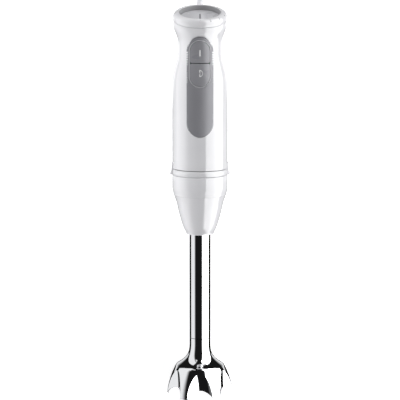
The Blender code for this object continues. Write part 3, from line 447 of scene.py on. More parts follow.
# ---- Materials -------------------------------------------------------------------------------
def linear(hex_colour: str) -> tuple[float, float, float, float]:
    """Turns an sRGB hex colour into a linear one."""
    values = [int(hex_colour[i : i + 2], 16) / 255 for i in (1, 3, 5)]
    parts = [v / 12.92 if v <= 0.04045 else ((v + 0.055) / 1.055) ** 2.4 for v in values]
    return (*parts, 1.0)


def add_node(
    tree: bpy.types.NodeTree,
    kind: str,
    settings: dict[str, object] | None = None,
    inputs: dict[str, object] | None = None,
) -> bpy.types.Node:
    """Adds a node with its settings, input values and links.

    Args:
        tree: the material's tree.
        kind: the node's type.
        settings: the node's own properties.
        inputs: values for its sockets, or the output sockets that feed them.

    Returns:
        The new node.
    """
    node = tree.nodes.new(kind)
    for name, value in (settings or {}).items():
        setattr(node, name, value)
    for name, value in (inputs or {}).items():
        socket = node.inputs[int(name)] if name.isdigit() else node.inputs[name]
        if isinstance(value, bpy.types.NodeSocket):
            tree.links.new(value, socket)
        else:
            socket.default_value = value
    return node


class Relief(Enum):
    """How a surface was made, which sets its fine relief."""

    MOULDED = "a polished mould's faint waviness"
    ERODED = "the fine even grain of a spark-eroded mould"
    DRAWN = "fine lines along the axis, left by drawing and polishing"
    TURNED = "fine rings left by a lathe"
    STACKED = "the edges of stacked sheets or wound wire"
    BOARD = "copper tracks under solder mask"


@dataclass(frozen=True)
class Finish:
    """A real material and how its surface was made."""

    name: str
    colour: str
    shade: str  # the colour that it drifts to in large soft patches
    roughness: tuple[float, float]
    relief: Relief
    grain: float  # spacing of its relief in mm
    height: float  # height of its relief in mm
    patch: float = 18.0  # size of its soft patches in mm
    metallic: float = 0.0
    ior: float = 1.5
    sheen: float = 0.0
    coat: float = 0.0

    def build(self) -> bpy.types.Material:
        """Makes the material once, and gives the made one after that."""
        found = bpy.data.materials.get(self.name)
        return found if found else self.make()

    def make(self) -> bpy.types.Material:
        """Builds the node tree: soft colour patches, uneven polish and the relief as bump."""
        material = bpy.data.materials.new(self.name)
        material.use_nodes = True
        tree = material.node_tree
        shader = tree.nodes["Principled BSDF"]
        shader.inputs["Metallic"].default_value = self.metallic
        if not self.metallic:
            shader.inputs["IOR"].default_value = self.ior
        shader.inputs["Sheen Weight"].default_value = self.sheen
        shader.inputs["Coat Weight"].default_value = self.coat
        shader.inputs["Coat Roughness"].default_value = 0.06
        where = add_node(tree, "ShaderNodeTexCoord").outputs["Object"]
        patches = add_node(
            tree, "ShaderNodeTexNoise", inputs={"Vector": where, "Scale": 1 / (self.patch * MM), "Detail": 3.0}
        ).outputs["Fac"]
        pattern = self.pattern(tree, where)
        blend = patches
        if self.relief in (Relief.STACKED, Relief.BOARD):
            blend = pattern
        colour = add_node(
            tree,
            "ShaderNodeMix",
            {"data_type": "RGBA"},
            {"0": blend, "6": linear(self.colour), "7": linear(self.shade)},
        )
        tree.links.new(colour.outputs[2], shader.inputs["Base Color"])
        smooth, rough = self.roughness
        polish = add_node(
            tree, "ShaderNodeMapRange", inputs={"Value": patches, "1": 0.3, "2": 0.7, "3": smooth, "4": rough}
        )
        tree.links.new(polish.outputs["Result"], shader.inputs["Roughness"])
        bump = add_node(
            tree, "ShaderNodeBump", inputs={"Height": pattern, "Distance": self.height * MM, "Strength": 1.0}
        )
        tree.links.new(bump.outputs["Normal"], shader.inputs["Normal"])
        return material

    def pattern(self, tree: bpy.types.NodeTree, where: bpy.types.NodeSocket) -> bpy.types.NodeSocket:
        """The relief's height over the surface, from 0 to 1.

        Args:
            tree: the material's tree.
            where: the object coordinates.

        Returns:
            The socket that holds the height.
        """
        pitch = 1 / (self.grain * MM)
        if self.relief in (Relief.MOULDED, Relief.ERODED):
            detail = 2.0 if self.relief is Relief.MOULDED else 4.0
            fine = {"Vector": where, "Scale": pitch, "Detail": detail, "Roughness": 0.55}
            return add_node(tree, "ShaderNodeTexNoise", inputs=fine).outputs["Fac"]
        if self.relief is Relief.BOARD:
            cells = {"Vector": where, "Scale": pitch}
            settings = {"feature": "DISTANCE_TO_EDGE", "distance": "CHEBYCHEV"}
            tracks = add_node(tree, "ShaderNodeTexVoronoi", settings, cells)
            ends = {"Value": tracks.outputs["Distance"], "1": 0.05, "2": 0.12}
            return add_node(tree, "ShaderNodeMapRange", inputs=ends).outputs["Result"]
        tilt = MACHINE.up.angle(Vector((0, 1, 0)))
        turn = {"Vector": where, "Location": -MACHINE.origin, "Rotation": (-tilt, 0, 0)}
        if self.relief is Relief.DRAWN:
            turn["Scale"] = (pitch, pitch / 90, pitch)
            lines = add_node(tree, "ShaderNodeMapping", {"vector_type": "POINT"}, turn)
            fine = {"Vector": lines.outputs["Vector"], "Scale": 1.0, "Detail": 3.0}
            return add_node(tree, "ShaderNodeTexNoise", inputs=fine).outputs["Fac"]
        lines = add_node(tree, "ShaderNodeMapping", {"vector_type": "POINT"}, turn)
        bands = {"Vector": lines.outputs["Vector"], "Scale": pitch / math.tau * 2, "Distortion": 0.3}
        kind = {"wave_type": "BANDS", "bands_direction": "Y"}
        if self.relief is Relief.TURNED:
            kind = {"wave_type": "RINGS", "rings_direction": "Y"}
        return add_node(tree, "ShaderNodeTexWave", kind, bands).outputs["Fac"]


# High-gloss moulded ABS: clean bright reflections on white, with only a trace of waviness.
WHITE_ABS = Finish(
    "white_moulded_abs", "#F1F1F3", "#ECECEF", (0.10, 0.16), Relief.MOULDED, 5.0, 0.004, ior=1.54, coat=0.25
)
# Soft-touch thermoplastic elastomer: satin mid grey whose fine grain breaks the highlight up.
GREY_TPE = Finish(
    "grey_soft_touch_tpe", "#8B8B90", "#85858A", (0.36, 0.46), Relief.ERODED, 0.7, 0.012, sheen=0.08
)
# The buttons' harder grey ABS: a shade lighter than the grip and a little shinier.
GREY_ABS = Finish("grey_satin_abs", "#96969B", "#909095", (0.26, 0.34), Relief.ERODED, 0.8, 0.006)
# Pale satin ABS of the bezel round the buttons: its pale colour is a painted highlight, the thin light line that
# a lit edge round the keys' opening catches.
PAINTED_HIGHLIGHT_ABS = Finish("pale_abs_painted_highlight", "#C9C9CD", "#C2C2C6", (0.20, 0.28), Relief.MOULDED, 3.0, 0.003)
# Light grey ABS of the dial's disc: satin, so that it stays even under the light.
DISC_ABS = Finish("light_grey_abs", "#DADADD", "#D3D3D7", (0.22, 0.30), Relief.ERODED, 0.9, 0.004)
# Darker grey ABS of the sleeve in the dial's mouth: a satin band between white ring and pale disc, whose darker
# grey is partly painted shade on the mouth's inner wall.
LINER_ABS_PAINTED_SHADE = Finish("mid_grey_abs_painted_shade", "#A4A4A6", "#9C9C9F", (0.30, 0.40), Relief.ERODED, 0.9, 0.004)
# Pad-printed grey ink: flat and slightly rough.
GREY_INK = Finish("grey_pad_print", "#6E6E73", "#66666B", (0.45, 0.55), Relief.ERODED, 0.5, 0.002)
# Pad-printed white ink on the buttons.
WHITE_INK = Finish("white_pad_print", "#F4F4F4", "#ECECEC", (0.40, 0.50), Relief.ERODED, 0.5, 0.002)
# Drawn and polished stainless steel tube: near mirror, with faint lines that stretch highlights.
TUBE_STEEL = Finish(
    "drawn_stainless_steel", "#DADBDD", "#D2D3D6", (0.035, 0.075), Relief.DRAWN, 0.5, 0.0006, metallic=1.0
)
# Pressed and polished stainless steel: a clear mirror, a little uneven from the press.
BELL_STEEL = Finish(
    "pressed_stainless_steel", "#DCDDDF", "#D5D6D8", (0.03, 0.06), Relief.MOULDED, 9.0, 0.004, metallic=1.0
)
# Ground and hardened stainless steel of the blade: satin, with the grinding marks left in.
BLADE_STEEL = Finish(
    "ground_blade_steel", "#C6C8CB", "#B4B6BA", (0.16, 0.28), Relief.DRAWN, 0.5, 0.003, metallic=1.0
)
# Turned steel of shafts, bearings and bolts: fine rings and a soft sheen.
TURNED_STEEL = Finish(
    "turned_steel", "#A9ACB0", "#94979B", (0.20, 0.34), Relief.TURNED, 0.6, 0.006, metallic=1.0
)
# Spring steel strip: blued grey, with rolling lines along it.
SPRING_STEEL = Finish(
    "spring_steel", "#8E9196", "#7C7F84", (0.22, 0.36), Relief.DRAWN, 0.4, 0.002, metallic=1.0
)
# Stacked electrical steel sheets, 0.5 mm each and drawn at 1 mm: dark edges with thin lines.
LAMINATION = Finish(
    "stacked_motor_iron", "#5B5E63", "#3C3E42", (0.35, 0.50), Relief.STACKED, 1.0, 0.05, metallic=1.0
)
# Enamelled copper wire in layers: glossy orange brown with a thread at every turn.
COPPER_WIRE = Finish(
    "enamelled_copper_wire", "#B5652F", "#7A3C18", (0.22, 0.34), Relief.STACKED, 0.8, 0.12, metallic=1.0
)
# Commutator bars: bare copper, turned bright and streaked by the brushes.
COPPER_BARS = Finish(
    "turned_copper_bars", "#C57B4B", "#8E5230", (0.24, 0.38), Relief.TURNED, 0.7, 0.02, metallic=1.0
)
# Pressed brass sheet of the brush holders: warm yellow, lightly tarnished in patches.
BRASS = Finish(
    "pressed_brass", "#C9A45A", "#A88443", (0.24, 0.40), Relief.DRAWN, 0.6, 0.003, 6.0, metallic=1.0
)
# Nickel plate on the plug's pins: bright and slightly yellow, rubbed in use.
NICKEL = Finish(
    "nickel_plated_brass", "#CFCBC2", "#BDB8AC", (0.12, 0.26), Relief.DRAWN, 0.5, 0.002, 5.0, metallic=1.0
)
# Pressed carbon of the brushes: soft black with a grey grain.
CARBON = Finish("pressed_carbon", "#26262A", "#3A3A3F", (0.55, 0.75), Relief.ERODED, 0.5, 0.02)
# Glass-filled nylon of brackets, fan and coupling: black, with a dry uneven gloss.
BLACK_NYLON = Finish("glass_filled_nylon", "#1B1B1D", "#26262A", (0.42, 0.60), Relief.ERODED, 0.9, 0.012)
# Acetal of the bushes and switches: smooth off-black.
BLACK_ACETAL = Finish("black_acetal", "#151517", "#1E1E20", (0.28, 0.38), Relief.MOULDED, 2.5, 0.004)
# Nitrile rubber of the seals: matt black.
SEAL_RUBBER = Finish(
    "nitrile_rubber", "#161616", "#202020", (0.55, 0.70), Relief.ERODED, 0.8, 0.01, sheen=0.1
)
# Silicone rubber of the hank's tie: soft matt dark grey that picks up a little dust.
TIE_RUBBER = Finish(
    "silicone_rubber", "#2A2A2C", "#343437", (0.50, 0.64), Relief.ERODED, 1.0, 0.012, sheen=0.2
)
# Glass-epoxy board under green mask: copper tracks show as paler lines.
BOARD = Finish("solder_masked_board", "#2F7A45", "#16502A", (0.20, 0.35), Relief.BOARD, 3.0, 0.05)
# Extruded white PVC of the cord: satin, a little wavy over the cores inside.
PVC_SHEATH = Finish(
    "white_pvc_sheath", "#EDEDEE", "#E6E6E8", (0.30, 0.40), Relief.MOULDED, 3.5, 0.02, 30.0, ior=1.53
)
# Moulded white PVC of plug and strain relief: softer gloss than the handle.
PVC_MOULDING = Finish(
    "moulded_white_pvc", "#ECECEE", "#E4E4E7", (0.26, 0.38), Relief.ERODED, 1.1, 0.006, ior=1.53
)


class Slot(Enum):
    """The record's material slots."""

    WHITE = "white_gloss"
    GREY = "grey_grip"
    DISC = "dial_face"
    POLISHED = "polished_steel"
    MACHINED = "machined_steel"
    CORE = "core_iron"
    COPPER = "winding_copper"
    BRASS = "brass_metal"
    PINS = "nickel_pins"
    BLACK = "black_moulding"
    RUBBER = "black_rubber"
    CORD = "cord_sheath"


def deliver(
    piece: Piece,
    place: LocalFrame,
    finish: Finish,
    body: str,
    slot: Slot,
    replaced: Sequence[str] = (),
    angle: float = 32.0,
) -> Piece:
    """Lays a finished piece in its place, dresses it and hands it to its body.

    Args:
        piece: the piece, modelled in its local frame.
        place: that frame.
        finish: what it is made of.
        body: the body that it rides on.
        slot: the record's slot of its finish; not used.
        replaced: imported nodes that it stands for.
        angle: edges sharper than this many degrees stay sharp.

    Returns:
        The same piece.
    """
    piece.data.transform(place.matrix)
    piece.data.materials.clear()
    piece.data.materials.append(finish.build())
    select_only(piece)
    bpy.ops.object.shade_smooth_by_angle(angle=math.radians(angle))
    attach(piece, body)
    if replaced:
        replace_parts(piece, *replaced)
    LOG.info("%s: %d faces, rides on %s", piece.name, len(piece.data.polygons), body)
    return piece


# ---- Camera, floor and light -----------------------------------------------------------------
@dataclass
class Studio:
    """A camera above the blender, a pale floor, and soft light from both sides."""

    distance: float = 1.64  # of the camera from the machine's axis, on the buttons' side
    height: float = 0.448  # of the camera above the bell's rim, along the axis
    pitch: float = math.radians(8.67)  # how far the camera looks towards the bell
    lens: float = 149.3
    card_distance: float = 0.9
    card_low: float = -1.3
    card_high: float = 3.0
    floor_size: float = 14.0

    def build(self) -> None:
        """Makes everything that isn't part of the object."""
        self.make_camera()
        self.make_floor()
        self.make_world()
        self.make_card("right_card", 23.0, 108.0, 5.0, 0.06)
        self.make_card("left_card", -114.0, -50.0, 1.15, 0.30)
        self.make_panel("right_ceiling", (1.5, -0.45, 3.0), (2.2, 1.8), "Z", 5.0)
        self.make_panel("left_ceiling", (-1.9, -0.45, 3.0), (2.2, 1.8), "Z", 1.0)
        self.make_panel("backdrop", (0.0, 2.0, 0.72), (4.4, 1.24), "Y", 1.0)
        self.make_light("right_softbox", 72.0, 1.2, 21.0)
        self.make_light("left_softbox", -80.0, 1.2, 26.0)
        self.make_top_light(2.6)

    def make_camera(self) -> None:
        """Puts the camera in front of the buttons, looking slightly down towards the bell."""
        data = bpy.data.cameras.new("camera")
        data.sensor_width = 36.0
        data.lens = self.lens
        data.clip_start = 0.05
        camera = bpy.data.objects.new("camera", data)
        bpy.context.scene.collection.objects.link(camera)
        spot = Matrix.Translation((0, -self.distance, self.height))
        camera.matrix_world = MACHINE.matrix @ spot @ Matrix.Rotation(math.pi / 2 - self.pitch, 4, "X")
        bpy.context.scene.camera = camera
        bpy.context.scene.view_settings.view_transform = "Standard"

    def make_floor(self) -> None:
        """A pale floor that mirrors in nothing, so that the steel keeps its dark edges."""
        bpy.ops.mesh.primitive_plane_add(size=self.floor_size, location=(0, 0, -0.1 * MM))
        floor = bpy.context.object
        floor.name = "floor"
        material = bpy.data.materials.new("pale_floor")
        material.use_nodes = True
        shader = material.node_tree.nodes["Principled BSDF"]
        shader.inputs["Base Color"].default_value = linear("#F6F6F6")
        shader.inputs["Roughness"].default_value = 0.9
        shader.inputs["Emission Color"].default_value = linear("#FFFFFF")
        shader.inputs["Emission Strength"].default_value = 0.55
        floor.data.materials.append(material)
        floor.visible_glossy = False

    def make_world(self) -> None:
        """White all round to the eye and for soft light, nearly black in reflections."""
        world = bpy.data.worlds.new("studio")
        bpy.context.scene.world = world
        world.use_nodes = True
        tree = world.node_tree
        tree.nodes["Background"].inputs["Color"].default_value = linear("#F2F2F4")
        tree.nodes["Background"].inputs["Strength"].default_value = 0.28
        dark = add_node(tree, "ShaderNodeBackground", inputs={"Color": linear("#FFFFFF"), "Strength": 0.012})
        pale = add_node(tree, "ShaderNodeBackground", inputs={"Color": linear("#FFFFFF"), "Strength": 0.9})
        ray = add_node(tree, "ShaderNodeLightPath")
        inner = add_node(tree, "ShaderNodeMixShader")
        tree.links.new(ray.outputs["Is Glossy Ray"], inner.inputs["Fac"])
        tree.links.new(tree.nodes["Background"].outputs[0], inner.inputs[1])
        tree.links.new(dark.outputs[0], inner.inputs[2])
        outer = add_node(tree, "ShaderNodeMixShader")
        tree.links.new(ray.outputs["Is Camera Ray"], outer.inputs["Fac"])
        tree.links.new(inner.outputs[0], outer.inputs[1])
        tree.links.new(pale.outputs[0], outer.inputs[2])
        tree.links.new(outer.outputs[0], tree.nodes["World Output"].inputs["Surface"])

    def aim(self, angle: float, distance: float) -> Matrix:
        """A place beside the machine's axis, facing it.

        Args:
            angle: degrees round the axis from the camera's side, positive to the right.
            distance: from the axis.

        Returns:
            A local frame there: -Z faces the axis, and Y runs along it.
        """
        turn = Matrix.Rotation(math.radians(angle), 4, "Y")
        return Matrix.Translation(Vector((0, 0, MACHINE.origin.z))) @ turn @ Matrix.Translation((0, 0, distance))

    def make_card(self, name: str, start: float, end: float, strength: float, fade: float) -> None:
        """A glowing card that only shows in reflections.

        Args:
            name: its name.
            start: degrees round the axis where it starts.
            end: degrees where it ends.
            strength: how bright it is.
            fade: share of its width that fades out on the side next to the camera.
        """
        half = self.card_distance * math.tan(math.radians((end - start) / 2))
        bpy.ops.object.select_all(action="DESELECT")
        bpy.ops.mesh.primitive_plane_add(size=1)
        card = bpy.context.object
        card.name = name
        length = self.card_high - self.card_low
        middle = (self.card_high + self.card_low) / 2
        size = Matrix.Diagonal((2 * half, length, 1, 1))
        along = Matrix.Translation((0, middle, 0))
        card.data.transform(along @ self.aim((start + end) / 2, self.card_distance) @ size)
        near, far = (0.0, fade) if start > 0 else (1.0, 1.0 - fade)
        self.glow(card, "X", near, far, strength)

    def make_panel(
        self,
        name: str,
        middle: tuple[float, float, float],
        size: tuple[float, float],
        facing: str,
        strength: float,
    ) -> None:
        """A glowing panel square to one axis of the machine's frame, which fades towards its far side.

        Args:
            name: its name.
            middle: its place.
            size: across, and along its second side.
            facing: Z for a ceiling, Y for a backdrop.
            strength: how bright it is.
        """
        bpy.ops.object.select_all(action="DESELECT")
        bpy.ops.mesh.primitive_plane_add(size=1)
        panel = bpy.context.object
        panel.name = name
        stand = Matrix.Rotation(math.pi / 2 if facing == "Y" else 0.0, 4, "X")
        place = Matrix.Translation(middle) @ stand @ Matrix.Diagonal((*size, 1, 1))
        panel.data.transform(MACHINE.matrix @ place)
        self.glow(panel, "Y", 1.0, 0.25, strength)

    def glow(self, card: Piece, side: str, near: float, far: float, strength: float) -> None:
        """Gives a card its light, and hides it from everything but reflections.

        Args:
            card: the card.
            side: the texture direction in which it fades, X or Y.
            near: where along that direction its light starts.
            far: where it is full.
            strength: how bright it is there.
        """
        material = bpy.data.materials.new(card.name)
        material.use_nodes = True
        tree = material.node_tree
        tree.nodes.remove(tree.nodes["Principled BSDF"])
        across = add_node(tree, "ShaderNodeUVMap").outputs["UV"]
        apart = add_node(tree, "ShaderNodeSeparateXYZ", inputs={"0": across})
        ramp = {"Value": apart.outputs[side], "1": near, "2": far, "3": 0.0, "4": strength}
        level = add_node(tree, "ShaderNodeMapRange", {"interpolation_type": "SMOOTHSTEP"}, ramp)
        light = add_node(tree, "ShaderNodeEmission", inputs={"Strength": level.outputs["Result"]})
        tree.links.new(light.outputs[0], tree.nodes["Material Output"].inputs["Surface"])
        card.data.materials.append(material)
        card.visible_camera = False
        card.visible_diffuse = False
        card.visible_shadow = False
        card.visible_transmission = False

    def make_top_light(self, power: float) -> None:
        """A soft light over the dial's end, from the buttons' side, which brightens the dial."""
        data = bpy.data.lights.new("top_softbox", "AREA")
        data.size = 1.0
        data.energy = power
        light = bpy.data.objects.new("top_softbox", data)
        bpy.context.scene.collection.objects.link(light)
        tilt = Matrix.Rotation(math.radians(35), 4, "X")
        light.matrix_world = MACHINE.matrix @ tilt @ Matrix.Translation((0, 0, 1.6))
        light.visible_glossy = False
        light.visible_camera = False

    def make_light(self, name: str, angle: float, size: float, power: float) -> None:
        """A soft area light, which the cards replace in reflections.

        Args:
            name: its name.
            angle: degrees round the axis from the camera's side.
            size: its width.
            power: in watts.
        """
        data = bpy.data.lights.new(name, "AREA")
        data.shape = "RECTANGLE"
        data.size = size
        data.size_y = 2 * size
        data.energy = power
        light = bpy.data.objects.new(name, data)
        bpy.context.scene.collection.objects.link(light)
        light.matrix_world = self.aim(angle, 1.6)
        light.visible_glossy = False
        light.visible_camera = False


# ---- Mains cord ------------------------------------------------------------------------------
@dataclass
class MainsCord:
    """The white mains lead: strain relief, lead-in, tied hank, tail and two-pin plug."""

    radius: float = 0.00325
    lane: float = 0.026  # radius of the hank's outer fold
    run: float = 0.098  # from fold centre to fold centre
    waist: float = 0.0132  # half the hank's width at the tie
    centre: float = -0.020
    start: float = 0.0343  # the near fold's lowest point, past the relief's end
    stub: float = 0.008
    rest: float = 0.00335  # height of the cord's middle where it lies on the table
    spacing: float = 0.0026
    tie_width: float = 0.012
    tie_thickness: float = 0.0012
    tie_lift: float = 0.0015
    relief_root: float = 0.0040
    relief_tip: float = 0.0036
    tail: tuple[tuple[float, float, float], ...] = (
        (0.0060, 0.0838, 0.0095),
        (0.0070, 0.0910, 0.0094),
        (0.0106, 0.0990, 0.0090),
        (0.0160, 0.1070, 0.0084),
        (0.0207, 0.1150, 0.0076),
        (0.0234, 0.1230, 0.00695),
        (0.0236, 0.1310, 0.00695),
    )

    def build(self) -> None:
        """Makes the cord and what is on it, and logs its length."""
        relief = self.make_relief()
        tie = self.make_tie()
        plug = self.make_plug()
        pins = [self.make_pin(side) for side in ("left", "right")]
        route = self.route()
        length = sum((b - a).length for a, b in zip(route, route[1:]))
        cord = self.make_cord(route)
        LOG.info("power_lead: %.3f m long, %.1f mm thick", length, 2000 * self.radius)
        others = [relief, tie, plug, *[part for pin in pins for part in pin]]
        tuple(self.exit())

    def exit(self) -> Vector:
        """Where the cord leaves the strain relief."""
        return MACHINE.matrix @ MACHINE.top_centre("strain_relief")

    def near_fold(self) -> float:
        """Centre of the near fold, past the relief's end."""
        return self.start + self.lane + self.radius

    def hank_point(self, lap: float) -> Vector:
        """A place in the hank.

        Args:
            lap: laps from the start of the right-hand run: its quarters are the right run, the far
                fold, the left run and the near fold.

        Returns:
            The place, past the relief's end.
        """
        inwards = ease((lap - 0.875) / 0.125) - ease((lap - 2.25) / 0.25)
        layer = ease((lap - 1.62) / 0.25)
        lane = self.lane - 2 * self.radius * inwards
        z = self.rest + 2 * self.radius * layer
        quarter, share = divmod(4 * (lap % 1.0), 1.0)
        near, far = self.near_fold(), self.near_fold() + self.run
        if quarter in (0, 2):
            side = 1 if quarter == 0 else -1
            along = share if quarter == 0 else 1 - share
            tied = self.waist - self.radius - 2 * self.radius * inwards
            offset = lane - (lane - tied) * math.sin(math.pi * along) ** 2
            lift = self.tie_lift * math.exp(-(((along - 0.5) * self.run / self.tie_width) ** 2))
            return Vector((self.centre + side * offset, near + self.run * along, z + lift))
        angle = math.pi * share if quarter == 1 else math.pi * (1 + share)
        middle = far if quarter == 1 else near
        return Vector((self.centre + lane * math.cos(angle), middle + lane * math.sin(angle), z))

    def route(self) -> list[Vector]:
        """The cord's middle line from inside the relief to the plug, at an even spacing."""
        end = self.exit()
        lane = self.centre + self.lane
        rest = self.rest
        lead = [
            (0.0, -0.004, end.z),
            (0.0, 0.0006, end.z),
            (0.0, 0.007, end.z - 0.0001),
            (0.0005, 0.014, rest + 0.55 * (end.z - rest)),
            (0.0021, 0.021, rest + 0.15 * (end.z - rest)),
            (0.0041, 0.028, rest),
            (lane - 0.0002, 0.035, rest),
            (lane, self.start + self.stub, rest),
            (lane, 0.053, rest),
        ]
        points = [Vector(point) for point in lead]
        points += [self.hank_point(3 * i / 144) for i in range(144)]
        points += [Vector((lane, self.near_fold(), rest + 2 * self.radius))]
        points += [Vector((lane, 0.0735, 0.0097))]
        points += [Vector(point) for point in self.tail]
        origin = Vector((0, end.y, 0))
        return [origin + point for point in smooth_line(points, self.spacing)]

    def make_cord(self, route: Sequence[Vector]) -> Piece:
        """A round tube along the route, as one open spline."""
        curve = bpy.data.curves.new("power_lead", "CURVE")
        curve.dimensions = "3D"
        curve.bevel_depth = self.radius
        curve.bevel_resolution = 5
        curve.use_fill_caps = True
        spline = curve.splines.new("POLY")
        spline.points.add(len(route) - 1)
        for point, place in zip(spline.points, route):
            point.co = (*place, 1.0)
        spline.use_smooth = True
        curve.materials.append(PVC_SHEATH.build())
        cord = bpy.data.objects.new("power_lead", curve)
        bpy.context.scene.collection.objects.link(cord)
        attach(cord, "handle")
        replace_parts(cord, "power_cord", "cord_hank", "cord_tail")
        return cord

    def make_relief(self) -> Piece:
        """A tapered sleeve with grooves, such as let a real strain relief bend evenly."""
        low, high = MACHINE.span("strain_relief")
        centre = MACHINE.top_centre("strain_relief")
        grooves, length = 8, 0.0275
        first = high - length - 0.001
        tip = high - 0.0009
        outline = [(0.0012, low), (self.relief_root - 0.0004, low), (self.relief_root, low + 0.0004)]
        for i in range(grooves):
            base = first + length * i / grooves
            width = self.relief_root + (self.relief_tip - self.relief_root) * i / grooves
            shallow = width - 0.0006
            outline += [(width, base), (shallow, base + 0.0004), (shallow, base + 0.0012)]
            outline += [(width - 0.00005, base + 0.0016)]
        outline += [(self.relief_tip, tip), (self.relief_tip - 0.0004, high), (0.0012, high)]
        piece = turned("strain_relief_sleeve", outline, 48)
        piece.data.transform(Matrix.Translation((0, centre.y, 0)))
        round_edges(piece, 0.0001, 2, 35)
        return deliver(piece, MACHINE, PVC_MOULDING, "handle", Slot.CORD, ["strain_relief"], 40)

    def make_tie(self) -> Piece:
        """A rubber strap round the hank's waist, with a stud through its tongue."""
        low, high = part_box("hank_tie")
        centre = (low + high) / 2
        half, tall = (high.x - low.x) / 2, (high.z - low.z) / 2
        corner = 0.0036
        outline = arc((half - corner, tall - corner), corner, 0, 90, 8)
        outline += arc((corner - half, tall - corner), corner, 90, 180, 8)
        outline += arc((corner - half, corner - tall), corner, 180, 270, 8)
        outline += arc((half - corner, corner - tall), corner, 270, 360, 8)

        def place(column: int, row: int) -> Vector:
            x, z = outline[column]
            return centre + Vector((x, self.tie_width * (row / 4 - 0.5), z))

        strap = net("cord_tie", len(outline), 5, place)
        tidy_net(strap, Vector((0, 0, 0)))
        outside = strap.data.polygons[0]
        away = Vector((outside.center.x - centre.x, 0, outside.center.z - centre.z))
        side = 1 if outside.normal.dot(away) < 0 else -1
        apply_modifier(strap, "SOLIDIFY", thickness=self.tie_thickness - 0.0001, offset=side)
        round_edges(strap, 0.0003, 2)
        top = Matrix.Translation((centre.x + 0.004, centre.y, high.z - 0.0003))
        button = [(0, 0), (0.0021, 0), (0.0021, 0.0001), (0.0017, 0.0003), (0, 0.0003)]
        stud = turned("tie_stud", button, 24)
        stud.data.transform(top)
        joined = join([strap, stud])
        return deliver(joined, WORLD, TIE_RUBBER, "handle", Slot.RUBBER, ["hank_tie"])

    def make_plug(self) -> Piece:
        """A flat two-pin plug with a grooved neck, hollowed grips and a flat front."""
        low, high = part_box("plug_body")
        centre = (low + high) / 2
        width, tall, length = (high.x - low.x) / 2, (high.z - low.z) / 2, high.y - low.y
        neck = 0.0044
        groove, rim = neck - 0.0006, neck - 0.0003
        stations = [(0.0, 0.0012, 0.0012, 2.0), (0.0, rim, rim, 2.0), (0.01, neck, neck, 2.0)]
        for i in range(4):
            base = 0.05 + 0.07 * i
            stations += [(base, neck, neck, 2.0), (base + 0.01, groove, groove, 2.0)]
            stations += [(base + 0.035, groove, groove, 2.0), (base + 0.045, neck, neck, 2.0)]
        for i in range(9):
            grown = ease(i / 8)
            half, thick = neck + (width - neck) * grown, neck + (tall - neck) * grown
            stations.append((0.33 + 0.30 * i / 8, half, thick, 2.0 + 2.2 * grown))
        stations += [(0.75, width - 0.0004, tall, 4.4), (0.93, width, tall, 4.6)]
        stations += [(0.975, width - 0.0002, tall - 0.0002, 4.6)]
        stations += [(1.0, width - 0.0011, tall - 0.0011, 4.6), (1.0, 0.002, 0.001, 4.6)]

        def place(column: int, row: int) -> Vector:
            along, half, thick, square = stations[row]
            angle = math.tau * column / 72
            c, s = math.cos(angle), math.sin(angle)
            x = math.copysign(abs(c) ** (2 / square), c) * half
            z = math.copysign(abs(s) ** (2 / square), s) * thick
            grip = math.exp(-(((along - 0.66) / 0.09) ** 2)) * math.exp(-((x / 0.006) ** 2))
            return Vector((centre.x + x, low.y + along * length, centre.z + z * (1 - 0.16 * grip)))

        plug = net("mains_plug", 72, len(stations), place)
        apply_modifier(plug, "WELD", merge_threshold=1e-6)
        edit(plug, "EDGE")
        bpy.ops.mesh.select_non_manifold()
        bpy.ops.mesh.edge_face_add()
        bpy.ops.mesh.select_all(action="SELECT")
        bpy.ops.mesh.normals_make_consistent(inside=False)
        close()
        return deliver(plug, WORLD, PVC_MOULDING, "handle", Slot.CORD, ["plug_body"], 38)

    def make_pin(self, side: str) -> list[Piece]:
        """One plated pin with a round tip, and the insulating sleeve on its root.

        Args:
            side: left or right.

        Returns:
            The pin and its sleeve.
        """
        node = f"plug_pin_{side}"
        low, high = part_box(node)
        radius, length = (high.x - low.x) / 2, high.y - low.y
        sleeve = 0.5 * length
        bare = radius - 0.0001
        angles = [i * math.pi / 16 for i in range(9)]
        tip = [(bare * math.cos(a), length - bare + bare * math.sin(a)) for a in angles]
        root = Vector(((low.x + high.x) / 2, low.y, (low.z + high.z) / 2))
        place = LocalFrame(root, Vector((0, 1, 0)))
        stem = bare - 0.0003
        metal = [(0, 0), (stem, 0), (stem, sleeve), (bare, sleeve), *tip]
        pin = turned(f"{node}_metal", metal, 32)
        deliver(pin, place, NICKEL, "handle", Slot.PINS, [node])
        rim = 0.0002
        bore = bare - 0.0002
        outline = [(bore, 0), (radius, 0), (radius, sleeve - rim), (radius - rim, sleeve), (bore, sleeve)]
        cover = turned(f"{node}_sleeve", outline, 32)
        return [pin, deliver(cover, place, PVC_MOULDING, "handle", Slot.CORD)]


def smooth_line(points: Sequence[Vector], spacing: float) -> list[Vector]:
    """A smooth curve through points, at an even spacing.

    Args:
        points: places that the curve passes through.
        spacing: distance between the new points.

    Returns:
        The new points, the first and last of them as given.
    """
    ends = [2 * points[0] - points[1], *points, 2 * points[-1] - points[-2]]
    fine = []
    for a, b, c, d in zip(ends, ends[1:], ends[2:], ends[3:]):
        for i in range(10):
            t = i / 10
            square = (2 * a - 5 * b + 4 * c - d) * t**2
            cube = (3 * b - a - 3 * c + d) * t**3
            fine.append(0.5 * (2 * b + (c - a) * t + square + cube))
    fine.append(points[-1])
    length = sum((b - a).length for a, b in zip(fine, fine[1:]))
    count = round(length / spacing)
    found, walked = [fine[0]], 0.0
    for a, b in zip(fine, fine[1:]):
        step = (b - a).length
        while len(found) < count and walked + step >= len(found) * length / count:
            found.append(a.lerp(b, (len(found) * length / count - walked) / step))
        walked += step
    return [*found, fine[-1]]


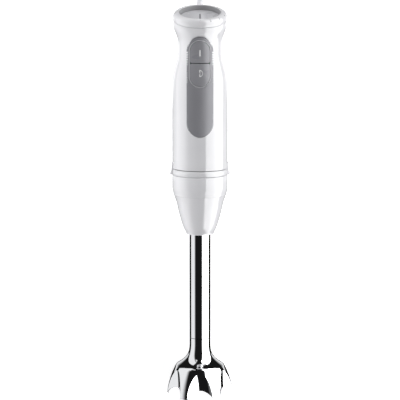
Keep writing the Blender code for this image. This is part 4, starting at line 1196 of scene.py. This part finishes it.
# ---- Handle ----------------------------------------------------------------------------------
@dataclass(frozen=True)
class HandleForm:
    """The handle's outside: a barrel, a shoulder, a waist, and a flare that leans to the dial's tilt."""

    barrel: float = 0.0274
    waist: float = 0.0217
    seat: float = 0.0265
    shoulder_low: float = 0.316
    shoulder_length: float = 0.031
    waist_top: float = 0.355
    flare_length: float = 0.0226
    tilt: float = math.radians(17)

    def radius(self, height: float) -> float:
        """Radius of the ring at a height."""
        if height < self.waist_top:
            narrowing = ease((height - self.shoulder_low) / self.shoulder_length)
            return self.barrel + (self.waist - self.barrel) * narrowing
        widening = ease((height - self.waist_top) / (0.85 * self.flare_length))
        return self.waist + (self.seat - self.waist) * widening

    def lean(self, height: float) -> float:
        """How far the ring at a height leans to the front."""
        return self.tilt * clamp((height - self.waist_top) / self.flare_length, 0, 1)

    def front(self, x: float, z: float, offset: float) -> Vector:
        """The place on the front that lies at an x and a height, moved outwards by an offset."""
        height = z
        for _ in range(16):
            back = -math.sqrt((self.radius(height) + offset) ** 2 - x * x)
            height = z - back * math.sin(self.lean(height))
        return Vector((x, back * math.cos(self.lean(height)), z))

    def at_offset(self, offset: float) -> Callable[[float, float], Vector]:
        """The front's surface, moved outwards by an offset."""
        return lambda x, z: self.front(x, z, offset)

    def outline(self, low: float, high: float, offset: float) -> Outline:
        """The profile between two heights, dense where it curves."""
        steps = 64
        heights = [low + (high - low) * i / steps for i in range(steps + 1)]
        return [(self.radius(height) + offset, height) for height in heights]


@dataclass
class Handle:
    """The housing with its cord boss, the grip panel, both keys, the end ring and the release buttons."""

    form: HandleForm = HandleForm()
    wall: float = 0.0026
    panel_width: float = 0.0268
    panel_low: float = 0.2635
    panel_high: float = 0.3614
    panel_depth: float = 0.0013
    key_width: float = 0.0196
    key_low: float = 0.3136
    key_high: float = 0.3573
    key_proud: float = 0.0006
    bezel: float = 0.0008
    bezel_depth: float = 0.0005
    slide: float = 0.00035
    boss_width: float = 0.017
    boss_top: float = 0.38395
    boss_length: float = 0.018
    boss_depth: float = 0.035977
    bell_touch: float = 0.030745
    release_size: tuple[float, float] = (0.0142, 0.0116)
    release_corner: float = 0.003
    release_inner: float = 0.023
    release_proud: float = 0.0302
    ring_radius: float = 0.028
    spigot: float = 0.0216

    def build(self) -> None:
        """Makes every outer piece of the handle."""
        self.make_housing()
        self.make_panel()
        self.make_key("on_button", "on_key", True)
        self.make_key("turbo_button", "turbo_key", False)
        self.make_marks()
        self.make_end_ring()
        for side, name in ((-1, "left"), (1, "right")):
            self.make_release(side, f"release_button_{name}", f"{name}_release")

    def make_housing(self) -> Piece:
        """The white shell: turned, leaned to the dial, joined to its boss and cut open."""
        low, high = MACHINE.span("housing")[0], self.form.waist_top + self.form.flare_length
        rim, wall = 0.0005, self.wall
        outside = self.form.outline(low + rim, high - rim, 0.0)
        base, seat = outside[0][0], outside[-1][0]
        outer = [(base - rim, low), (base - 0.3 * rim, low + 0.3 * rim), *outside]
        outer += [(seat - 0.3 * rim, high - 0.3 * rim), (seat - rim, high)]
        inner = [(radius, z) for radius, z in reversed(self.form.outline(low, high, -wall))]
        housing = turned("housing_shell", [*outer, *inner], 160)
        for vertex in housing.data.vertices:
            x, y, z = vertex.co
            lean = self.form.lean(z)
            vertex.co = (x, y * math.cos(lean), z + y * math.sin(lean))
        for side in (-1, 1):
            cut(housing, self.pocket(side))
        cut(housing, self.boss(), "UNION")
        self.open_housing(housing)
        return deliver(housing, MACHINE, WHITE_ABS, "handle", Slot.WHITE, ["housing"], 28)

    def boss(self) -> Piece:
        """The flat boss at the back, which holds the cord's strain relief."""
        low, half = self.boss_top - self.boss_length, self.boss_width / 2
        slope = (self.boss_depth - self.bell_touch) / self.boss_top
        depth = self.bell_touch + slope * low
        skin = self.form.radius(low) - 0.001
        corners = [(skin - 0.0015, low - 0.012), (skin, low - 0.012), (depth, low)]
        corners += [(self.boss_depth, self.boss_top), (0.0225, self.boss_top)]
        corners += [(skin - 0.0015, self.boss_top - 0.006)]
        boss = prism("boss", [Vector((-half, y, z)) for y, z in corners], Vector((2 * half, 0, 0)))
        round_edges(boss, 0.0016, 4)
        return boss

    def open_housing(self, housing: Piece) -> None:
        """Cuts the panel's recess, the keys' opening and the cord's bore."""
        width, low, high = self.panel_width, self.panel_low, self.panel_high
        rim = stadium(width, low, high)
        skin = self.form.at_offset(0.003)
        depth = 0.003 + self.panel_depth + CLEARANCE
        cut(housing, wrapped("recess", rim, spine_of(rim, width, low, high), 8, skin, depth, 0.0))
        opening = [Vector((x, -0.040, z)) for x, z in self.key_opening(0.0)]
        cut(housing, prism("key_opening", opening, Vector((0, 0.030, 0))))
        relief = MACHINE.top_centre("strain_relief")
        radius, low = self.cord_bore(), MACHINE.span("strain_relief")[0]
        ring = [Vector((x, relief.y + y, low)) for x, y in arc((0, 0), radius, 0, 350, 35)]
        cut(housing, prism("cord_bore", ring, Vector((0, 0, 0.040))))

    def cord_bore(self) -> float:
        """Radius of the bore round the strain relief."""
        low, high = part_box("strain_relief")
        return (high.x - low.x) / 2 + CLEARANCE

    def key_opening(self, margin: float) -> Outline:
        """The keys' opening, widened by a margin."""
        grow = self.slide + margin
        return stadium(self.key_width + 2 * grow, self.key_low - grow, self.key_high + grow)

    def make_panel(self) -> None:
        """The soft grey grip round the keys, and the thin bezel at its inner edge, whose pale colour is a
        painted highlight line.
        """
        gap = CLEARANCE
        rim = stadium(self.panel_width - 2 * gap, self.panel_low + gap, self.panel_high - gap)
        inner = self.key_opening(self.bezel + 0.00005)
        panel = wrapped("grip_skin", rim, inner, 24, self.form.at_offset(0.0), self.panel_depth, 0.0003)
        deliver(panel, MACHINE, GREY_TPE, "handle", Slot.GREY, ["grip_panel"])
        edge, opening = self.key_opening(self.bezel), self.key_opening(0.0)
        surface = self.form.at_offset(0.0001)
        # painted highlight: the bezel's pale ABS stands for the thin light line that the edge round the keys
        # catches
        bezel = wrapped("key_bezel_painted_highlight", edge, opening, 4, surface, self.bezel_depth, 0.0002)
        deliver(bezel, MACHINE, PAINTED_HIGHLIGHT_ABS, "handle", Slot.GREY)

    def make_key(self, node: str, body: str, upper: bool) -> None:
        """One key: a curved cap with rounded edges on its stem.

        Args:
            node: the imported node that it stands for.
            body: the body that it rides on.
            upper: whether its round end is the upper one.
        """
        low, high = MACHINE.span(node)
        rim = tombstone(self.key_width, low, high, 0.0012, upper)
        spine = spine_of(rim, self.key_width, low, high)
        cap = wrapped(f"{node}_cap", rim, spine, 14, self.form.at_offset(self.key_proud), 0.003, 0.0004)
        back = max(point.y for point in MACHINE.local_points(node))
        middle, top = (low + high) / 2, -self.form.radius(low) + 0.002
        stem = [Vector((x, top, middle + z)) for x, z in arc((0, 0), 0.0018, 0, 345, 23)]
        joined = join([cap, prism(f"{node}_stem", stem, Vector((0, back - top, 0)))])
        deliver(joined, MACHINE, GREY_ABS, body, Slot.GREY, [node])

    def make_marks(self) -> None:
        """The printed marks: a short white bar on the upper key and a half-round ring on the lower."""
        ink = 0.00006
        surface = self.form.at_offset(self.key_proud + ink)
        low, high = self.key_high - 0.0147, self.key_high - 0.0083
        bar = stadium(0.0012, low, high)
        mark = wrapped("on_mark", bar, spine_of(bar, 0.0012, low, high), 3, surface, 3 * ink, 0.0)
        deliver(mark, MACHINE, WHITE_INK, "on_key", Slot.DISC)
        middle = (-0.0006, self.key_low + 0.0128)

        def half_round(radius: float) -> Outline:
            """The mark's outline at one radius."""
            inset = 0.0034 - radius
            bow = arc((middle[0] + inset * 0.5, middle[1]), radius, -80, 80, 24)
            foot = [(middle[0] + inset, bow[-1][1]), (middle[0] + inset, bow[0][1])]
            return [*bow, *foot]

        mark = wrapped("turbo_mark", half_round(0.0034), half_round(0.0026), 3, surface, 3 * ink, 0.0)
        deliver(mark, MACHINE, WHITE_INK, "turbo_key", Slot.DISC)

    def release_edge(self, margin: float) -> Outline:
        """A release button's rounded outline, as (depth, height) points."""
        half = self.release_size[0] / 2 + margin
        low, high = MACHINE.span("release_button_left")
        low, high, corner = low - margin, high + margin, self.release_corner
        right, left = half - corner, corner - half
        edge = arc((right, high - corner), corner, 0, 90, 8)
        edge += arc((left, high - corner), corner, 90, 180, 8)
        edge += arc((left, low + corner), corner, 180, 270, 8)
        return edge + arc((right, low + corner), corner, 270, 360, 8)

    def pocket(self, side: int) -> Piece:
        """Cutter of a release button's pocket."""
        start = side * (self.release_inner - 0.0023)
        corners = [Vector((start, y, z)) for y, z in self.release_edge(CLEARANCE)]
        return prism("pocket", corners, Vector((side * 0.0133, 0, 0)))

    def make_release(self, side: int, node: str, body: str) -> None:
        """A release button: its face is dished, and flares out towards the shaft.

        Args:
            side: -1 for the left one, 1 for the right one.
            node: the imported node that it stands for.
            body: the body that it rides on.
        """
        edge = self.release_edge(0.0)
        low, high = MACHINE.span(node)
        middle, half = (low + high) / 2, (high - low) / 2
        round_over = 0.0009

        def face(y: float, z: float, drop: float) -> Vector:
            """A place on the button's face, sunk by a drop."""
            up = (z - middle) / half
            flare = 0.0007 * (1 + up) + 0.0013 * (1 - up * up)
            return Vector((side * (self.release_proud - flare - drop), y, z))

        root = [Vector((side * self.release_inner, y, z)) for y, z in edge]
        rings = [[Vector((point.x, 0, middle)).lerp(point, 0.02) for point in root], root]
        for angle in range(0, 91, 15):
            turn = math.radians(angle)
            inset, drop = round_over * (1 - math.cos(turn)), round_over * (1 - math.sin(turn))
            shrink = 1 - inset / half
            rings.append([face(y * shrink, middle + (z - middle) * shrink, drop) for y, z in edge])
        last = 1 - round_over / half
        for i in range(1, 10):
            shrink = last * (1 - i / 10)
            rings.append([face(y * shrink, middle + (z - middle) * shrink, 0.0) for y, z in edge])
        button = lofted(f"{node}_cap", rings)
        deliver(button, MACHINE, WHITE_ABS, body, Slot.WHITE, [node], 40)

    def make_end_ring(self) -> None:
        """The white band under the housing, with the grooved spigot that seats in the collar."""
        low = MACHINE.span("handle_end_ring")[0]
        top = MACHINE.span("handle_end_ring")[1]
        base, radius, spigot = top - 0.0057, self.ring_radius, self.spigot
        inner, bore = 0.0165, 0.0047
        crown = [(radius - 0.0008 * (abs(t) ** 3), (top + base) / 2 + t * (top - base) / 2) for t in
                 (1 - i / 8 for i in range(17))]
        outline = [(bore, top), (radius - 0.0012, top), *crown, (radius - 0.0012, base), (spigot, base)]
        outline += [(spigot, low + 0.0047), (spigot - 0.001, low + 0.0047), (spigot - 0.001, low + 0.0025)]
        outline += [(spigot, low + 0.0025), (spigot, low + 0.0004), (spigot - 0.0004, low), (inner, low)]
        outline += [(inner, base + 0.002), (bore, base + 0.002)]
        ring = turned("end_ring_band", outline, 128)
        for side in (-1, 1):
            cut(ring, self.pocket(side))
        deliver(ring, MACHINE, WHITE_ABS, "handle", Slot.WHITE, ["handle_end_ring"], 30)


# ---- Speed dial ------------------------------------------------------------------------------
@dataclass
class SpeedDial:
    """The turning ring with its printed speeds, and the fixed disc sunk in it with an index line."""

    radius: float = 0.02685
    height: float = 0.008
    mouth: float = 0.0199
    liner: float = 0.0004
    skirt: float = 0.0227
    skirt_depth: float = 0.0025
    flange: float = 0.0162
    disc_level: float = 0.0032
    disc_thickness: float = 0.0016
    post: float = 0.004
    index_width: float = 0.0013
    speeds: int = 12
    digit_height: float = 0.0024

    def build(self) -> None:
        """Makes the ring, its numbers, the disc and the index line."""
        self.make_ring()
        self.make_liner()
        self.make_numbers()
        self.make_disc()

    def shoulder(self, angle: float) -> tuple[float, float]:
        """A place on the ring's rounded shoulder, from its side (0) to its top (90 degrees)."""
        foot = 0.3 * self.height
        reach = self.radius - self.mouth - 0.001
        turn = math.radians(angle)
        return self.mouth + 0.001 + reach * math.cos(turn), foot + (self.height - foot) * math.sin(turn)

    def make_ring(self) -> None:
        """The ring: a skirt in the seat, a rounded shoulder, and an inner wall down to the disc."""
        foot, mouth, gap = CLEARANCE, self.mouth, CLEARANCE
        outline = [(self.flange, -self.skirt_depth), (self.skirt, -self.skirt_depth), (self.skirt, gap)]
        radius = self.radius
        outline += [(radius - 0.0007, foot), (radius - 0.0002, foot + 0.0002), (radius, foot + 0.0006)]
        outline += [self.shoulder(90 * i / 20) for i in range(21)]
        seat = mouth + self.liner
        outline += [(seat + 0.0003, self.height - 0.00005), (seat + 0.0001, self.height - 0.0002)]
        outline += [(seat, self.height - 0.0004), (seat, -0.0008), (self.flange, -0.0008)]
        ring = turned("dial_band", outline, 160)
        deliver(ring, DIAL, WHITE_ABS, "dial", Slot.WHITE, ["dial_ring"], 30)

    def make_liner(self) -> None:
        """The dark grey sleeve in the ring's mouth, which sets off the ring from the disc; its dark grey is
        partly painted shade on the mouth's inner wall.
        """
        inner, outer, top = self.mouth, self.mouth + self.liner - 0.00003, self.height - 0.0003
        outline = [(inner, -0.0007), (outer, -0.0007), (outer, top)]
        outline += [(inner + 0.0001, top), (inner, top - 0.0001)]
        liner = turned("dial_liner_painted_shade", outline, 128)
        # painted shade: the liner's darker grey partly stands for the shade inside the dial's mouth
        deliver(liner, DIAL, LINER_ABS_PAINTED_SHADE, "dial", Slot.GREY)

    def make_numbers(self) -> None:
        """Small grey speeds printed round the shoulder, the lowest one at the index."""
        digits = []
        for speed in range(1, self.speeds + 1):
            bpy.ops.object.select_all(action="DESELECT")
            bpy.ops.object.text_add()
            text = bpy.context.object
            text.data.body = str(speed)
            text.data.size = self.digit_height / 0.7
            text.data.align_x = "CENTER"
            text.data.align_y = "CENTER"
            text.data.extrude = 0.02 * MM
            bpy.ops.object.convert(target="MESH")
            around = math.radians(270 * (speed - 1) / (self.speeds - 1))
            for vertex in text.data.vertices:
                vertex.co = self.on_shoulder(around, vertex.co)
            digits.append(bpy.context.object)
        digits[0].name = "speed_numbers"
        deliver(join(digits), DIAL, GREY_INK, "dial", Slot.DISC)

    def on_shoulder(self, around: float, flat: Vector) -> Vector:
        """Lays a flat point on the ring's shoulder.

        Args:
            around: angle of the point's origin from the index.
            flat: across, up the shoulder, and out of it.

        Returns:
            The place on the ring.
        """
        angle = 48 + math.degrees(flat.y / 0.0058)
        radius, height = self.shoulder(angle)
        turn = math.radians(angle)
        radius += (flat.z + 0.01 * MM) * math.cos(turn)
        height += (flat.z + 0.01 * MM) * math.sin(turn)
        spin = around - math.pi / 2 + flat.x / radius
        return Vector((radius * math.cos(spin), radius * math.sin(spin), height))

    def make_disc(self) -> None:
        """The disc with a shallow dish and its post, and the dark line let into its front."""
        radius, top, low = self.mouth - 0.00035, self.disc_level, self.disc_level - self.disc_thickness
        post_low = DIAL.span("dial_disc")[0]
        dish = [(radius * i / 16, top - 0.0003 * (1 - (i / 16) ** 2)) for i in range(16)]
        outline = [*dish, (radius - 0.0003, top), (radius - 0.0001, top - 0.0001), (radius, top - 0.0003)]
        outline += [(radius, low), (self.post, low), (self.post, post_low), (0.0, post_low)]
        disc = turned("dial_face", outline, 128)
        deliver(disc, DIAL, DISC_ABS, "handle", Slot.DISC, ["dial_disc"], 30)
        half, start, end = self.index_width / 2, -0.0080, 0.0182
        corners = arc((0, -start - half), half, 0, 180, 10) + arc((0, -end + half), half, 180, 360, 10)
        line = [Vector((x, y, top - 0.0006)) for x, y in corners]
        index = prism("index_line", line, Vector((0, 0, 0.00063)))
        for vertex in index.data.vertices:
            if vertex.co.z > top - 0.0003:
                share = (vertex.co.y / radius) ** 2
                vertex.co.z = top - 0.0003 * (1 - share) + 0.03 * MM
        deliver(index, DIAL, GREY_INK, "handle", Slot.BLACK)


# ---- Shaft -----------------------------------------------------------------------------------
@dataclass
class Shaft:
    """The white cone, the polished tube and the scalloped bell."""

    collar_low_radius: float = 0.0138
    collar_middle_radius: float = 0.0206
    collar_radius: float = 0.0275
    step_drop: float = 0.0202
    socket: float = 0.0221
    tube_radius: float = 0.0105
    tube_wall: float = 0.001
    bell_radius: float = 0.0334
    bell_height: float = 0.0575
    bell_wall: float = 0.0011
    dome_top: float = 0.0298
    crown: float = 0.0492
    neck_start: float = 0.054
    roundness: float = 1.467
    flare: float = 3.3
    shoulder_blend: float = 0.0011
    lobes: int = 6
    scoop_half: float = math.radians(23)
    scoop_top: float = 0.0262
    scoop_depth: float = 0.0067
    scoop_skew: float = 0.26  # how much deeper each scoop is on its right
    scoop_arch: float = 0.0085

    def build(self) -> None:
        """Makes the three outer pieces of the shaft."""
        self.make_collar()
        self.make_tube()
        self.make_bell()

    def make_collar(self) -> None:
        """The cone, with a fine step under its straight top and a thin rim at the tube."""
        low, top = MACHINE.span("shaft_collar")
        step = top - self.step_drop
        base, middle, radius = self.collar_low_radius, self.collar_middle_radius, self.collar_radius
        knots = [(base, 0.0012), (base + 0.0032, 0.008), (middle, 0.020), (middle + 0.0028, 0.032)]
        knots += [(radius - 0.0016, step - low)]
        cone = smooth_line([Vector((r, 0, low + z)) for r, z in knots], 0.0011)
        outer = [(base - 0.0010, low), (base - 0.0002, low + 0.0002), (base, low + 0.0006)]
        outer += [(point.x, point.z) for point in cone]
        outer += [(radius - 0.0012, step + 0.0003)]
        outer += [(radius - 0.0012 * (1 - ease(i / 8)), step + 0.0003 + 0.007 * i / 8) for i in range(1, 9)]
        outer += [(radius, top - 0.0006), (radius - 0.0002, top - 0.0002), (radius - 0.0006, top)]
        floor, bore = low + 0.014, self.tube_radius + CLEARANCE
        spigot_low = MACHINE.span("handle_end_ring")[0]
        inner = [(self.socket, top), (self.socket, spigot_low - CLEARANCE), (middle - 0.0008, low + 0.032)]
        inner += [(middle - 0.0036, low + 0.020), (base + 0.002, floor), (bore, floor), (bore, low)]
        collar = turned("collar_cone", [*outer, *inner], 144)
        deliver(collar, MACHINE, WHITE_ABS, "shaft_unit", Slot.WHITE, ["shaft_collar"], 28)

    def make_tube(self) -> None:
        """The drawn tube."""
        low, top = MACHINE.span("shaft_tube")
        radius, bore, rim = self.tube_radius, self.tube_radius - self.tube_wall, 0.0002
        outline = [(radius - rim, low), (radius, low + rim), (radius, top - rim), (radius - rim, top)]
        tube = turned("tube_polished", [*outline, (bore, top), (bore, low)], 144)
        deliver(tube, MACHINE, TUBE_STEEL, "shaft_unit", Slot.POLISHED, ["shaft_tube"])

    def dome(self, height: float) -> float:
        """The bell's radius at a height, scoops aside, with its shoulder rounded."""
        shifts = [self.shoulder_blend * (i / 4 - 1) for i in range(9)]
        return sum(self.profile(max(height + shift, 0.0)) for shift in shifts) / len(shifts)

    def profile(self, height: float) -> float:
        """The dome below a sharp shoulder, and the neck that flares down to it."""
        if height <= self.dome_top:
            return self.bell_radius * math.sqrt(1 - (height / self.crown) ** self.roundness)
        share = clamp((height - self.dome_top) / (self.neck_start - self.dome_top), 0, 1)
        return self.tube_radius + (self.profile(self.dome_top) - self.tube_radius) * (1 - share) ** self.flare

    def make_bell(self) -> None:
        """The bell: dome, neck, and six arched scoops whose edges stay crisp."""
        across, below = 14, 16
        pitch = math.tau / self.lobes
        offsets = [self.scoop_half * math.sin(math.pi / 2 * i / across) for i in range(-across, across + 1)]
        ridge = pitch - 2 * self.scoop_half
        offsets += [self.scoop_half + ridge * i / 8 for i in range(1, 8)]
        angles = [lobe * pitch + offset for lobe in range(self.lobes) for offset in offsets]
        above = [i / 20 for i in range(1, 21)]
        neck = [self.dome_top + (self.bell_height - self.dome_top) * (i / 36) ** 1.6 for i in range(1, 37)]
        rows = below + 1 + len(above) + len(neck)

        def place(column: int, row: int) -> Vector:
            angle = angles[column]
            offset = offsets[column % len(offsets)]
            inside = max(0.0, 1 - (offset / self.scoop_half) ** 2)
            edge, crease = self.scoop_arch * math.sqrt(inside), self.scoop_top * math.sqrt(inside)
            if row <= below:
                share = 1 - (1 - row / below) ** 1.5
                height = edge + (crease - edge) * share
                deep = max(0.0, inside - (height / self.scoop_top) ** 2)
                skew = 1 + self.scoop_skew * offset / self.scoop_half
                radius = self.dome(height) - self.scoop_depth * deep * skew
            elif row <= below + len(above):
                height = crease + (self.dome_top - crease) * above[row - below - 1]
                radius = self.dome(height)
            else:
                height = neck[row - below - len(above) - 1]
                radius = self.dome(height)
            return Vector((radius * math.sin(angle), -radius * math.cos(angle), height))

        bell = net("bell_polished", len(angles), rows, place)
        edit(bell)
        bpy.ops.mesh.select_all(action="SELECT")
        bpy.ops.mesh.remove_doubles(threshold=2e-6)
        bpy.ops.mesh.dissolve_degenerate(threshold=1e-7)
        bpy.ops.mesh.normals_make_consistent(inside=False)
        close()
        widest = max(bell.data.polygons, key=lambda face: math.hypot(face.center.x, face.center.y))
        if widest.normal.x * widest.center.x + widest.normal.y * widest.center.y < 0:
            edit(bell)
            bpy.ops.mesh.select_all(action="SELECT")
            bpy.ops.mesh.flip_normals()
            close()
        round_edges(bell, 0.0004, 2, 14)
        apply_modifier(bell, "SOLIDIFY", thickness=self.bell_wall, offset=-1, use_even_offset=False)
        deliver(bell, MACHINE, BELL_STEEL, "shaft_unit", Slot.POLISHED, ["bell"], 38)


# ---- Works inside ----------------------------------------------------------------------------
@dataclass
class Works:
    """The motor, the drive line, the controls and the seals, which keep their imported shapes."""

    rules: tuple[tuple[str, Finish], ...] = (
        ("commutator", COPPER_BARS),
        ("coil", COPPER_WIRE),
        ("armature", LAMINATION),
        ("stator", LAMINATION),
        ("holder", BRASS),
        ("brush", CARBON),
        ("board", BOARD),
        ("sensor", BOARD),
        ("switch", BLACK_ACETAL),
        ("bush", BLACK_ACETAL),
        ("seal", SEAL_RUBBER),
        ("spring", SPRING_STEEL),
        ("blade", BLADE_STEEL),
        ("bearing", TURNED_STEEL),
        ("bolt", TURNED_STEEL),
        ("shaft", TURNED_STEEL),
        ("rod", TURNED_STEEL),
        ("dog", BLACK_NYLON),
        ("fan", BLACK_NYLON),
        ("coupling", BLACK_NYLON),
        ("bracket", BLACK_NYLON),
        ("deck", BLACK_NYLON),
    )

    def build(self) -> None:
        """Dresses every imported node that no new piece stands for."""
        taken = {name for piece in bpy.data.objects for name in piece.get("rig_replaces", [])}
        for name, node in frame["nodes"].items():
            if name not in taken:
                self.dress(name, node)

    def dress(self, name: str, node: Piece) -> None:
        """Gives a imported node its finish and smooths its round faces."""
        finish = next((finish for word, finish in self.rules if word in name), BLACK_NYLON)
        node.data.materials.clear()
        node.data.materials.append(finish.build())
        select_only(node)
        bpy.ops.object.shade_smooth_by_angle(angle=math.radians(32))
        LOG.info("%s keeps its packed shape: %s", name, finish.name)


def main() -> None:
    """Builds the scene in order."""
    logging.basicConfig(level=logging.INFO, format="%(name)s: %(message)s")
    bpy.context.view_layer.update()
    Studio().build()
    MainsCord().build()
    Handle().build()
    SpeedDial().build()
    Shaft().build()
    Works().build()


if __name__ == "__main__":
    main()
